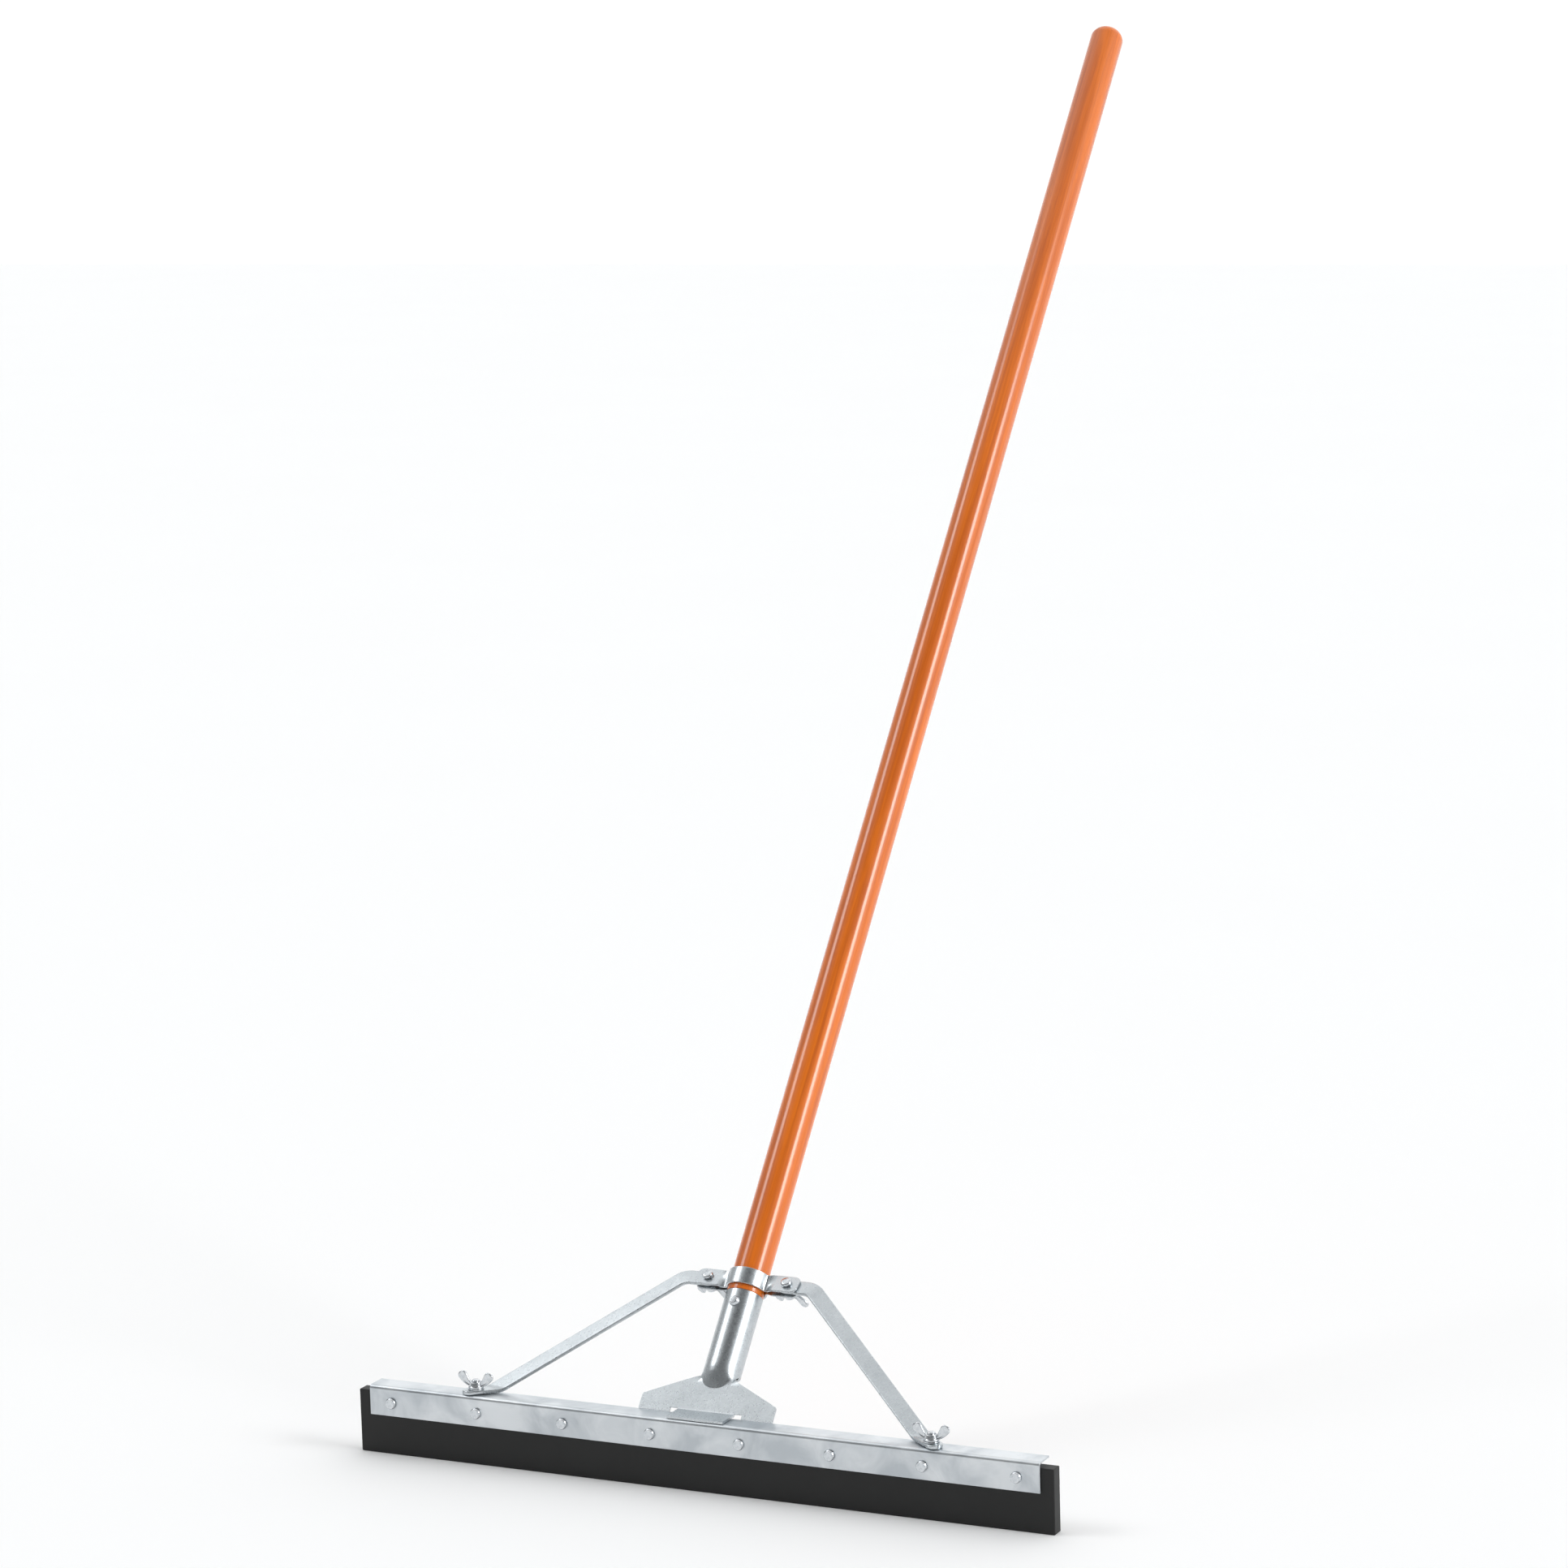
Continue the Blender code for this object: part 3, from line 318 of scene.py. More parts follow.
# ---------------- mesh tools
CORNER_STEPS = 4     # facets round the corner of a flat bar
FILLET_STEPS = 5     # facets round the fillet of a turned profile


def add_piece(name, shape, finish, node, matrix=None, body=HEAD_BODY):
    """Make one visible piece from a bmesh, in place of a CAD node."""
    mesh = bpy.data.meshes.new(name)
    shape.to_mesh(mesh)
    shape.free()
    mesh.materials.append(finish_named(finish))
    for polygon in mesh.polygons:
        polygon.use_smooth = True
    piece = bpy.data.objects.new(name, mesh)
    bpy.context.scene.collection.objects.link(piece)
    if matrix is not None:
        piece.matrix_world = matrix
    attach(piece, body)
    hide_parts(node)
    return piece


def round_edges(piece, width, segments=3, angle=35.0):
    """Round a piece's sharp edges and keep its flats flat."""
    bevel = piece.modifiers.new("edge round", "BEVEL")
    bevel.width = width
    bevel.segments = segments
    bevel.limit_method = "ANGLE"
    bevel.angle_limit = math.radians(angle)
    flat = piece.modifiers.new("flat faces", "WEIGHTED_NORMAL")
    flat.keep_sharp = True
    return piece


def turned(profile, steps):
    """Return a solid of revolution about Z; the profile runs from the top down its outer side."""
    shape = bmesh.new()
    ways = [(math.cos(2 * math.pi * step / steps), math.sin(2 * math.pi * step / steps))
            for step in range(steps)]
    rings = []
    for radius, height in profile:
        rings.append([shape.verts.new((radius * x, radius * y, height))
                      for x, y in (ways if radius > 0 else ways[:1])])
    for upper, lower in zip(rings, rings[1:]):
        for step in range(steps):
            after = (step + 1) % steps
            corners = (lower[step % len(lower)], lower[after % len(lower)],
                       upper[after % len(upper)], upper[step % len(upper)])
            unique = list(dict.fromkeys(corners))
            if len(unique) > 2:
                shape.faces.new(unique)
    return shape


def skin(shape, rings):
    """Join rings of vertices with faces, cap both ends and face everything outwards."""
    count = len(rings[0])
    for low, high in zip(rings, rings[1:]):
        for i in range(count):
            j = (i + 1) % count
            shape.faces.new((low[i], low[j], high[j], high[i]))
    shape.faces.new(rings[0][::-1])
    shape.faces.new(rings[-1])
    if shape.calc_volume(signed=True) < 0:
        bmesh.ops.reverse_faces(shape, faces=shape.faces)
    return shape


def extruded(outline, low_x, high_x, cuts):
    """Return an outline of Y, Z points drawn out along X, with even cuts along its length."""
    shape = bmesh.new()
    rings = []
    for cut in range(cuts + 1):
        x = low_x + (high_x - low_x) * cut / cuts
        rings.append([shape.verts.new((x, y, z)) for y, z in outline])
    return skin(shape, rings)


def bar_section(half_w, half_t, corner, waist):
    """Return the rounded section of a flat bar; waist thins it between its edges."""
    corner = min(corner, half_w * 0.95, half_t * 0.95)
    points = []
    for quarter, (sign_w, sign_t) in enumerate(((1, 1), (-1, 1), (-1, -1), (1, -1))):
        for step in range(CORNER_STEPS + 1):
            angle = math.pi / 2 * (quarter + step / CORNER_STEPS)
            points.append((sign_w * (half_w - corner) + corner * math.cos(angle),
                           sign_t * (half_t - corner) + corner * math.sin(angle)))
        if quarter in (0, 2):
            for share in (0.55, 0.2, -0.2, -0.55):
                thin = half_t * (1 - waist * (1 - 2.2 * share ** 2))
                points.append((sign_w * share * half_w, sign_t * thin))
    return points


def lofted(stations, corner, waist=0.0):
    """Return a bar lofted through stations of centre, width way, thickness way and half sizes."""
    shape = bmesh.new()
    rings = []
    for centre, wide, thick, half_w, half_t in stations:
        section = bar_section(half_w, half_t, corner, waist)
        rings.append([shape.verts.new(centre + wide * a + thick * b) for a, b in section])
    return skin(shape, rings)


def rounded_profile(corners):
    """Return a profile whose corners of radius, height, fillet are rounded."""
    points = []
    last = len(corners) - 1
    for i, (x, z, radius) in enumerate(corners):
        if i in (0, last) or radius <= 0:
            points.append((x, z))
            continue
        here = Vector((x, z))
        into = Vector(corners[i - 1][:2]) - here
        out = Vector(corners[i + 1][:2]) - here
        half = into.angle(out) / 2
        cut = min(radius / math.tan(half), into.length * 0.49, out.length * 0.49)
        radius = cut * math.tan(half)
        into.normalize()
        out.normalize()
        centre = here + (into + out).normalized() * radius / math.sin(half)
        start = here + into * cut - centre
        end = here + out * cut - centre
        sweep = start.angle(end)
        for step in range(FILLET_STEPS + 1):
            part = step / FILLET_STEPS
            arm = start * math.sin((1 - part) * sweep) + end * math.sin(part * sweep)
            points.append(tuple(centre + arm / math.sin(sweep)))
    return points


def smooth_part(value, low, high):
    """Return 0 below low, 1 above high and a soft step between."""
    part = max(0.0, min(1.0, (value - low) / (high - low)))
    return part * part * (3 - 2 * part)


def face_grid(shape, grid, columns, rows, side):
    """Fill columns of a grid of vertices with faces; side -1 turns them over."""
    for row, after in zip(rows, rows[1:]):
        for column in columns:
            corners = (grid[column, row], grid[column + 1, row],
                       grid[column + 1, after], grid[column, after])
            shape.faces.new(corners if side > 0 else corners[::-1])


def box_piece(name, finish, node, cuts):
    """Make a plain bar that fills a CAD node's box."""
    low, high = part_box(node)
    section = ((low.y, low.z), (high.y, low.z), (high.y, high.z), (low.y, high.z))
    return add_piece(name, extruded(section, low.x, high.x, cuts), finish, node)


# ---------------- handle
HANDLE_IN_SOCKET = 48.9 * MM     # reduced end below the socket's rim
SHOULDER_ROUND = 0.4 * MM
TENON_CHAMFER = 1.0 * MM


class SQUEEGEE_OT_handle(bpy.types.Operator):
    """Turned wooden handle with a domed end and a reduced end in the socket."""

    bl_idname = "squeegee.handle"
    bl_label = "Handle"

    def execute(self, context):
        sizes = settings()[0]
        radius = sizes.handle_radius
        bottom = sizes.tube_rim - HANDLE_IN_SOCKET
        dome_foot = bottom + sizes.handle_length - sizes.handle_dome
        shoulder = sizes.tube_rim + GAP
        tenon = sizes.tube_radius - PRESSING - GAP
        profile = []
        for step in range(17):
            angle = math.pi / 2 * step / 16
            profile.append((radius * math.sin(angle),
                            dome_foot + sizes.handle_dome * math.cos(angle)))
        for step in range(1, 12):
            profile.append((radius, dome_foot + (shoulder - dome_foot) * step / 12))
        profile += rounded_profile([
            (radius, shoulder + 3 * MM, 0), (radius, shoulder, SHOULDER_ROUND),
            (tenon, shoulder, 0), (tenon, bottom + TENON_CHAMFER, 0),
            (tenon - TENON_CHAMFER, bottom, 0), (0.0, bottom, 0)])
        add_piece("wooden_handle", turned(profile, sizes.turned_steps), "wood", "handle",
                  AXIS_FRAME)
        return {"FINISHED"}


# ---------------- head
FRAME_BEND = 3.0 * MM     # outside radius of the frame's bend
RIVET_FLAT = 3.7 * MM     # flat middle of a rivet's head
RIVET_HEAD = 4.4 * MM
RIVET_RIM = 0.9 * MM      # height of the head's edge
RIVET_SHANK = 2.4 * MM
RIVET_TAIL = 4.0 * MM
RIVET_TAIL_FLAT = 3.4 * MM
RIVET_TAIL_HEIGHT = 1.4 * MM


def frame_section():
    """Return the frame's bent section as Y, Z points, outer side first."""
    middle_y = FACE_Y + FRAME_BEND
    middle_z = FRAME_TOP - FRAME_BEND
    outside = [(FACE_Y, FACE_LOW)]
    inside = [(FACE_Y + SHEET, FACE_LOW)]
    for step in range(13):
        angle = math.pi - math.pi / 2 * step / 12
        for side, radius in ((outside, FRAME_BEND), (inside, FRAME_BEND - SHEET)):
            side.append((middle_y + radius * math.cos(angle), middle_z + radius * math.sin(angle)))
    outside.append((FLANGE_BACK, FRAME_TOP))
    inside.append((FLANGE_BACK, FRAME_TOP - SHEET))
    return outside + inside[::-1]


class SQUEEGEE_OT_head_frame(bpy.types.Operator):
    """Bent steel face and top flange, and the flat strip behind the rubber."""

    bl_idname = "squeegee.head_frame"
    bl_label = "Head frame"

    def execute(self, context):
        sizes = settings()[0]
        shape = extruded(frame_section(), -FRAME_HALF, FRAME_HALF, 40)
        piece = add_piece("steel_frame", shape, "frame", "frame_front")
        round_edges(piece, sizes.sheet_round)
        piece = box_piece("back_strip", "frame", "frame_back", 20)
        round_edges(piece, sizes.sheet_round)
        return {"FINISHED"}


class SQUEEGEE_OT_blade(bpy.types.Operator):
    """Thick solid rubber blade, longer than the frame at both ends."""

    bl_idname = "squeegee.blade"
    bl_label = "Rubber blade"

    def execute(self, context):
        piece = box_piece("rubber_blade_visible", "rubber", "rubber_blade", 1)
        round_edges(piece, settings()[0].rubber_round, 4)
        return {"FINISHED"}


class SQUEEGEE_OT_rivets(bpy.types.Operator):
    """Row of flat-headed rivets with peened rear ends."""

    bl_idname = "squeegee.rivets"
    bl_label = "Rivets"

    def execute(self, context):
        rivets = [node for node in frame["nodes"] if node.startswith("rivet_")]
        for node in sorted(rivets):
            low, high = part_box(node)
            front = FACE_Y - low.y
            end = FACE_Y - high.y
            tail = end + RIVET_TAIL_HEIGHT
            profile = rounded_profile([
                (0.0, front, 0), (RIVET_FLAT, front, 0.25 * MM),
                (RIVET_HEAD, GAP + RIVET_RIM, 0.3 * MM), (RIVET_HEAD, GAP, 0),
                (RIVET_SHANK, GAP, 0), (RIVET_SHANK, tail, 0), (RIVET_TAIL, tail, 0),
                (RIVET_TAIL_FLAT, end, 0.5 * MM), (0.0, end, 0)])
            place = Matrix.Translation(((low.x + high.x) / 2, FACE_Y, (low.z + high.z) / 2))
            add_piece(f"frame_{node}", turned(profile, FASTENING_STEPS), "fastening", node,
                      place @ TO_FRONT)
        return {"FINISHED"}


# ---------------- socket bracket
PLATE_DEPTH = 9.0 * MM - PRESSING / 2    # plate's mid thickness ahead of the handle's axis
PLATE_HALF = 55.9 * MM
PLATE_FOOT = 0.1 * MM     # how far the plate's foot edge stands off the frame
CORNER_UP = 13.4 * MM     # plate's corners and shoulders, up from its foot
CORNER_RUN = 3.0 * MM
CORNER_ROUND = 1.6 * MM
SHOULDER_UP = 29.3 * MM
SHOULDER_HALF = 18.5 * MM
SHOULDER_RUN = 6.0 * MM
SHOULDER_CURVE = 2.4
NOSE_TOP = 34.0 * MM      # where the tube's front starts to slope back to the plate
NOSE_FOOT = 15.2 * MM     # where the slope's middle meets the plate
NOSE_ROUND = 13.0 * MM    # how much the slope's foot curves up towards its sides
NOSE_CURVE = 1.9
SIDE_RISE = (18.0 * MM, 31.0 * MM)   # where the tube's sides leave the plate's plane
SIDE_BLEND = 3.5 * MM     # how wide the plate follows the tube's sides
TUBE_REAR = 28.2 * MM     # where the rear half of the tube starts
REAR_TURN = math.radians(88.8)       # each rear quarter ends just short of the butt seam
TAB_HALF = 23.5 * MM
TAB_BEND = 2.0 * MM + PRESSING / 2   # mid-sheet radius of the tab's fold
TAB_SET_BACK = 1.6 * MM   # from the frame's face to the tab's edge
RELIEF = 6.5 * MM         # width of the notch beside the tab
FOLD_ROW = 2              # row of the sheet where the tab folds
NOSE_STEPS = 28
REAR_STEPS = 14


def plate_half_width(up, low, radius):
    """Return half the bracket plate's width at a height up the handle's line."""
    corner = low + CORNER_UP
    shoulder = low + SHOULDER_UP
    if up <= corner:
        drop = max(0.0, 1 + (up - corner) / CORNER_RUN)
        return PLATE_HALF - CORNER_ROUND * (1 - math.sqrt(1 - drop ** 2))
    if up <= shoulder:
        start = PLATE_HALF - CORNER_ROUND
        line = start + (SHOULDER_HALF - start) * (up - corner) / (shoulder - corner)
        return line - CORNER_ROUND / 2 * math.exp((corner - up) / MM)
    rest = max(0.0, 1 - (up - shoulder) / SHOULDER_RUN)
    return radius + (SHOULDER_HALF - radius) * rest ** SHOULDER_CURVE


def nose_depth(angle, up, radius):
    """Return how far ahead of the axis the sheet's front half stands."""
    round_depth = radius * math.cos(angle)
    if round_depth < PLATE_DEPTH:
        share = smooth_part(up, *SIDE_RISE)
    else:
        foot = NOSE_FOOT + NOSE_ROUND * (1 - math.cos(angle))
        slope = max(0.0, min(1.0, (NOSE_TOP - up) / (NOSE_TOP - foot)))
        share = 1 - slope ** NOSE_CURVE
    return PLATE_DEPTH + (round_depth - PLATE_DEPTH) * share


def bracket_rows(low, fold, rim):
    """Return the heights of the sheet's rows, close together where it is shaped."""
    rows = [low, (low + fold) / 2, fold]
    while rows[-1] < low + SHOULDER_UP + SHOULDER_RUN:
        rows.append(rows[-1] + 0.7 * MM)
    while rows[-1] < rim - 3.0 * MM:
        rows.append(rows[-1] + 2.4 * MM)
    return [*rows, rim]


def add_front(shape, rows, radius):
    """Add the nose and the tube's front half, and return its grid of vertices."""
    grid = {}
    for row, up in enumerate(rows):
        for step in range(NOSE_STEPS + 1):
            angle = math.pi * (step / NOSE_STEPS - 0.5)
            grid[step, row] = shape.verts.new((radius * math.sin(angle),
                                               -nose_depth(angle, up, radius), up))
    face_grid(shape, grid, range(NOSE_STEPS), range(FOLD_ROW, len(rows)), 1)
    return grid


def add_wing(shape, rows, edge, side, radius):
    """Add one side of the plate, notched beside the tab, and return its row at the fold."""
    notch = TAB_HALF + RELIEF
    stops = [radius + (TAB_HALF - radius) * k / 4 for k in range(5)]
    stops += [TAB_HALF + RELIEF / 2, notch]
    stops += [notch + (PLATE_HALF - notch) * k / 8 for k in range(1, 9)]
    low = rows[0]
    count = sum(up <= low + SHOULDER_UP + SHOULDER_RUN - 1.0 * MM for up in rows)
    grid = {}
    for row, up in enumerate(rows[:count]):
        half = plate_half_width(up, low, radius)
        grid[0, row] = edge[row]
        for k, stop in enumerate(stops[1:], 1):
            out = (stop - radius) / (PLATE_HALF - radius) * (half - radius)
            rise = smooth_part(up, *SIDE_RISE) * math.exp(-out / SIDE_BLEND)
            grid[k, row] = shape.verts.new((side * (radius + out), PLATE_DEPTH * (rise - 1), up))
    columns = range(len(stops) - 1)
    face_grid(shape, grid, columns[stops.index(notch):], range(FOLD_ROW + 1), side)
    face_grid(shape, grid, columns, range(FOLD_ROW, count), side)
    return [grid[k, FOLD_ROW] for k in range(5)]


def add_rear(shape, rows, edge, side, radius):
    """Add one rear quarter of the rolled tube, up to its butt seam."""
    tube = [row for row, up in enumerate(rows) if up >= TUBE_REAR]
    grid = {}
    for row in tube:
        grid[0, row] = edge[row]
        for step in range(1, REAR_STEPS + 1):
            angle = math.pi / 2 + REAR_TURN * step / REAR_STEPS
            grid[step, row] = shape.verts.new((side * radius * math.sin(angle),
                                               -radius * math.cos(angle), rows[row]))
    face_grid(shape, grid, range(REAR_STEPS), tube, side)


def tab_path(fold):
    """Return the tab's run round the fold and forward over the frame, in the sheet's frame."""
    turn = math.pi / 2 - LEAN
    start = AXIS_FRAME @ Vector((0.0, -PLATE_DEPTH, fold))
    down = -UP_HANDLE
    ahead = Vector((0.0, -1.0, 0.0))
    across = (ahead - down * ahead.dot(down)).normalized()
    path = []
    for step in range(1, 9):
        angle = turn * step / 8
        path.append(start + TAB_BEND * (down * math.sin(angle) + across * (1 - math.cos(angle))))
    end = path[-1]
    for step in range(1, 7):
        path.append(end + ahead * (end.y - FACE_Y - TAB_SET_BACK) * step / 6)
    return [AXIS_FRAME.inverted() @ point for point in path]


def add_tab(shape, top_row, side, path):
    """Continue a row of the plate along the tab's path."""
    grid = {(column, 0): vertex for column, vertex in enumerate(top_row)}
    for row, point in enumerate(path, 1):
        for column, vertex in enumerate(top_row):
            grid[column, row] = shape.verts.new((vertex.co.x, point.y, point.z))
    face_grid(shape, grid, range(len(top_row) - 1), range(len(path), -1, -1), side)


class SQUEEGEE_OT_bracket(bpy.types.Operator):
    """Pressed socket bracket: plate, folded tab, nose and rolled tube in one sheet."""

    bl_idname = "squeegee.bracket"
    bl_label = "Socket bracket"

    def execute(self, context):
        sizes = settings()[0]
        radius = sizes.tube_radius - PRESSING / 2
        low = (-(PLATE_DEPTH + PRESSING / 2) * math.sin(LEAN) - PLATE_FOOT) / math.cos(LEAN)
        reach = TAB_BEND * math.tan((math.pi / 2 - LEAN) / 2)
        tab_up = GAP + PRESSING / 2
        fold = (tab_up + reach * math.cos(LEAN) - PLATE_DEPTH * math.sin(LEAN)) / math.cos(LEAN)
        rows = bracket_rows(low, fold, sizes.tube_rim)
        path = tab_path(fold)
        shape = bmesh.new()
        front = add_front(shape, rows, radius)
        add_tab(shape, [front[step, FOLD_ROW] for step in range(NOSE_STEPS + 1)], 1, path)
        for side, column in ((-1, 0), (1, NOSE_STEPS)):
            edge = [front[column, row] for row in range(len(rows))]
            add_tab(shape, add_wing(shape, rows, edge, side, radius), side, path)
            add_rear(shape, rows, edge, side, radius)
        loose = [vertex for vertex in shape.verts if not vertex.link_faces]
        bmesh.ops.delete(shape, geom=loose, context="VERTS")
        bmesh.ops.remove_doubles(shape, verts=shape.verts, dist=0.01 * MM)
        piece = add_piece("pressed_bracket", shape, "bracket", "socket_bracket",
                          AXIS_FRAME)
        wall = piece.modifiers.new("sheet", "SOLIDIFY")
        wall.thickness = PRESSING
        wall.offset = 0.0
        wall.use_even_offset = True
        round_edges(piece, sizes.sheet_round, 2, 50.0)
        return {"FINISHED"}


SCREW_HEAD = 4.3 * MM
SCREW_HEIGHT = 2.9 * MM
SCREW_SHANK = 2.2 * MM
SCREW_DOWN = 10.5 * MM    # below the socket's rim


class SQUEEGEE_OT_socket_screw(bpy.types.Operator):
    """Domed screw through the socket's front."""

    bl_idname = "squeegee.socket_screw"
    bl_label = "Socket screw"

    def execute(self, context):
        sizes = settings()[0]
        low = sizes.tube_radius - 0.3 * MM
        profile = rounded_profile([
            (0.0, low + SCREW_HEIGHT, 0),
            (SCREW_HEAD * 0.66, low + SCREW_HEIGHT, SCREW_HEAD * 0.2),
            (SCREW_HEAD * 0.97, low + SCREW_HEIGHT * 0.38, SCREW_HEAD * 0.18),
            (SCREW_HEAD, low, 0)])
        profile += [(SCREW_SHANK, low), (SCREW_SHANK, low - 5 * MM), (0.0, low - 6 * MM)]
        place = AXIS_FRAME @ Matrix.Translation((0.0, 0.0, sizes.tube_rim - SCREW_DOWN))
        add_piece("socket_screw_visible", turned(profile, FASTENING_STEPS), "fastening",
                  "socket_screw", place @ TO_FRONT)
        return {"FINISHED"}


# ---------------- clamp and braces
CLAMP_HEIGHT = 13.3 * MM
EAR_HEIGHT = 16.0 * MM
EAR_END_X = 43.2 * MM
EAR_CORNER = 5.5 * MM
EAR_OFFSET = BRACE_THICK / 2 + GAP + PRESSING / 2
EAR_FILLET = 3.0 * MM
TWIST_RUN = 6.0 * MM
BAND_STEPS = 36


def clamp_stations(facing, band_radius):
    """Return the stations of one clamp half; facing is -1 for the front half."""
    fillet_y = EAR_OFFSET + EAR_FILLET
    start_x = math.sqrt((band_radius + EAR_FILLET) ** 2 - fillet_y ** 2)
    leave = math.atan2(start_x, fillet_y)
    band_half = CLAMP_HEIGHT / 2
    ear_half = EAR_HEIGHT / 2
    right = []

    def station(x, half, angle=0.0, y=EAR_OFFSET):
        tilt = EAR_TILT * smooth_part(x, start_x, start_x + TWIST_RUN)
        back = Vector((0.0, math.cos(tilt), -math.sin(tilt))) * facing
        centre = Vector((x, 0.0, CLAMP_MID)) + back * y
        thick = Vector((math.sin(angle), 0.0, 0.0)) + back * math.cos(angle)
        wide = Vector((0.0, math.sin(tilt), math.cos(tilt)))
        right.append((centre, wide, thick.normalized(), half, PRESSING / 2))

    for step in range(2, 13):
        angle = math.pi / 2 * step / 12
        station(EAR_END_X - EAR_CORNER * (1 - math.cos(angle)),
                ear_half - EAR_CORNER * (1 - math.sin(angle)))
    corner_x = EAR_END_X - EAR_CORNER
    for step in range(1, 4):
        station(corner_x + (start_x + TWIST_RUN - corner_x) * step / 3, ear_half)
    for step in range(1, 9):
        share = 1 - step / 8
        station(start_x + TWIST_RUN * share, band_half + (ear_half - band_half) * share)
    for step in range(1, 9):
        angle = leave * step / 8
        station(start_x - EAR_FILLET * math.sin(angle), band_half, angle,
                EAR_OFFSET + EAR_FILLET * (1 - math.cos(angle)))
    band = []
    for step in range(1, BAND_STEPS):
        angle = leave - 2 * leave * step / BAND_STEPS
        thick = Vector((math.sin(angle), facing * math.cos(angle), 0.0))
        centre = thick * band_radius + Vector((0.0, 0.0, CLAMP_MID))
        band.append((centre, Vector((0.0, 0.0, 1.0)), thick, band_half, PRESSING / 2))
    flip = Vector((-1.0, 1.0, 1.0))
    left = [(centre * flip, wide * flip, thick * flip, half, half_t)
            for centre, wide, thick, half, half_t in right[::-1]]
    return right + band + left


class SQUEEGEE_OT_clamp(bpy.types.Operator):
    """Two-part handle clamp: half bands with twisted ears."""

    bl_idname = "squeegee.clamp"
    bl_label = "Handle clamp"

    def execute(self, context):
        sizes = settings()[0]
        band_radius = sizes.handle_radius + GAP + PRESSING / 2
        for facing, word in ((-1, "front"), (1, "back")):
            shape = lofted(clamp_stations(facing, band_radius), 0.55 * MM)
            piece = add_piece(f"clamp_half_{word}", shape, "bracket", f"clamp_{word}",
                              AXIS_FRAME)
            round_edges(piece, 0.2 * MM, 2, 60.0)
        return {"FINISHED"}


BRACE_WIDTH = 13.0 * MM
BRACE_FOLD = 8.0 * MM
FOOT_END = 10.5 * MM
TOP_END = 7.5 * MM
FOOT_FOLD_X = 179.0 * MM
FOOT_FOLD_BACK = 9.1 * MM
TOP_FOLD_X = 54.0 * MM
TOP_CURVE = 15.0 * MM


def fold_stations(corner, into, out, low_normal, high_normal, half_w):
    """Return a flat bar's stations round a fold whose line lies where the two runs meet."""
    line = low_normal.cross(high_normal).normalized()
    if line.dot(low_normal.cross(into)) < 0:
        line = -line
    across_in = into - line * into.dot(line)
    across_out = out - line * out.dot(line)
    sweep = low_normal.angle(high_normal)
    reach = BRACE_FOLD * math.tan(sweep / 2)
    start = corner - into * reach / across_in.length
    end = corner + out * reach / across_out.length
    drift = (end - start).dot(line)
    ahead = across_in.normalized()
    rise = 1.0 if across_out.dot(low_normal) > 0 else -1.0
    stations = []
    for step in range(13):
        angle = sweep * step / 12
        point = start + ahead * BRACE_FOLD * math.sin(angle) + line * drift * step / 12
        point += low_normal * rise * BRACE_FOLD * (1 - math.cos(angle))
        normal = low_normal * math.cos(angle) - ahead * rise * math.sin(angle)
        stations.append((point, line, normal, half_w / across_in.length))
    return stations


def brace_stations(side):
    """Return the stations of one brace, from its foot to its upper end."""
    foot_point = bolt_place("foot", "right")[0]
    foot_z = FRAME_TOP + GAP + BRACE_THICK / 2
    bolt = Vector((foot_point.x, foot_point.y, foot_z))
    low = Vector((FOOT_FOLD_X, foot_point.y + FOOT_FOLD_BACK, foot_z))
    high = Vector((TOP_FOLD_X, EAR_MIDDLE.y, EAR_MIDDLE.z))
    top = Vector((EAR_BOLT_X - TOP_END, EAR_MIDDLE.y, EAR_MIDDLE.z))
    foot_dir = (low - bolt).normalized()
    run_dir = (high - low).normalized()
    top_dir = Vector((-1.0, 0.0, 0.0))
    foot_normal = Vector((0.0, 0.0, 1.0))
    ear_normal = -NUT_AXIS
    run_normal = (ear_normal - run_dir * ear_normal.dot(run_dir)).normalized()
    half_w = BRACE_WIDTH / 2
    path = []

    def flat(point, direction, normal, half):
        path.append((point, normal.cross(direction).normalized(), normal, half))

    foot_end = bolt - foot_dir * FOOT_END
    for step in range(1, 13):
        angle = math.pi / 2 * step / 12
        flat(foot_end + foot_dir * half_w * (1 - math.cos(angle)), foot_dir, foot_normal,
             half_w * math.sin(angle))
    path += fold_stations(low, foot_dir, run_dir, foot_normal, run_normal, half_w)
    sweep = run_dir.angle(top_dir)
    reach = TOP_CURVE * math.tan(sweep / 2)
    inward = (top_dir - run_dir).normalized()
    centre = high + inward * TOP_CURVE / math.cos(sweep / 2)
    from_arm = high - run_dir * reach - centre
    to_arm = high + top_dir * reach - centre
    for step in range(15):
        part = step / 14
        arm = from_arm * math.sin((1 - part) * sweep) + to_arm * math.sin(part * sweep)
        ahead = run_dir * math.sin((1 - part) * sweep) + top_dir * math.sin(part * sweep)
        lean = run_normal.lerp(ear_normal, part)
        ahead.normalize()
        lean = (lean - ahead * lean.dot(ahead)).normalized()
        flat(centre + arm / math.sin(sweep), ahead, lean, half_w)
    for step in range(12):
        angle = math.pi / 2 * step / 12
        flat(top - top_dir * half_w * (1 - math.sin(angle)), top_dir, ear_normal,
             half_w * math.cos(angle))
    flip = Vector((side, 1.0, 1.0))
    return [(point * flip, wide * flip, normal * flip, half, BRACE_THICK / 2)
            for point, wide, normal, half in path]


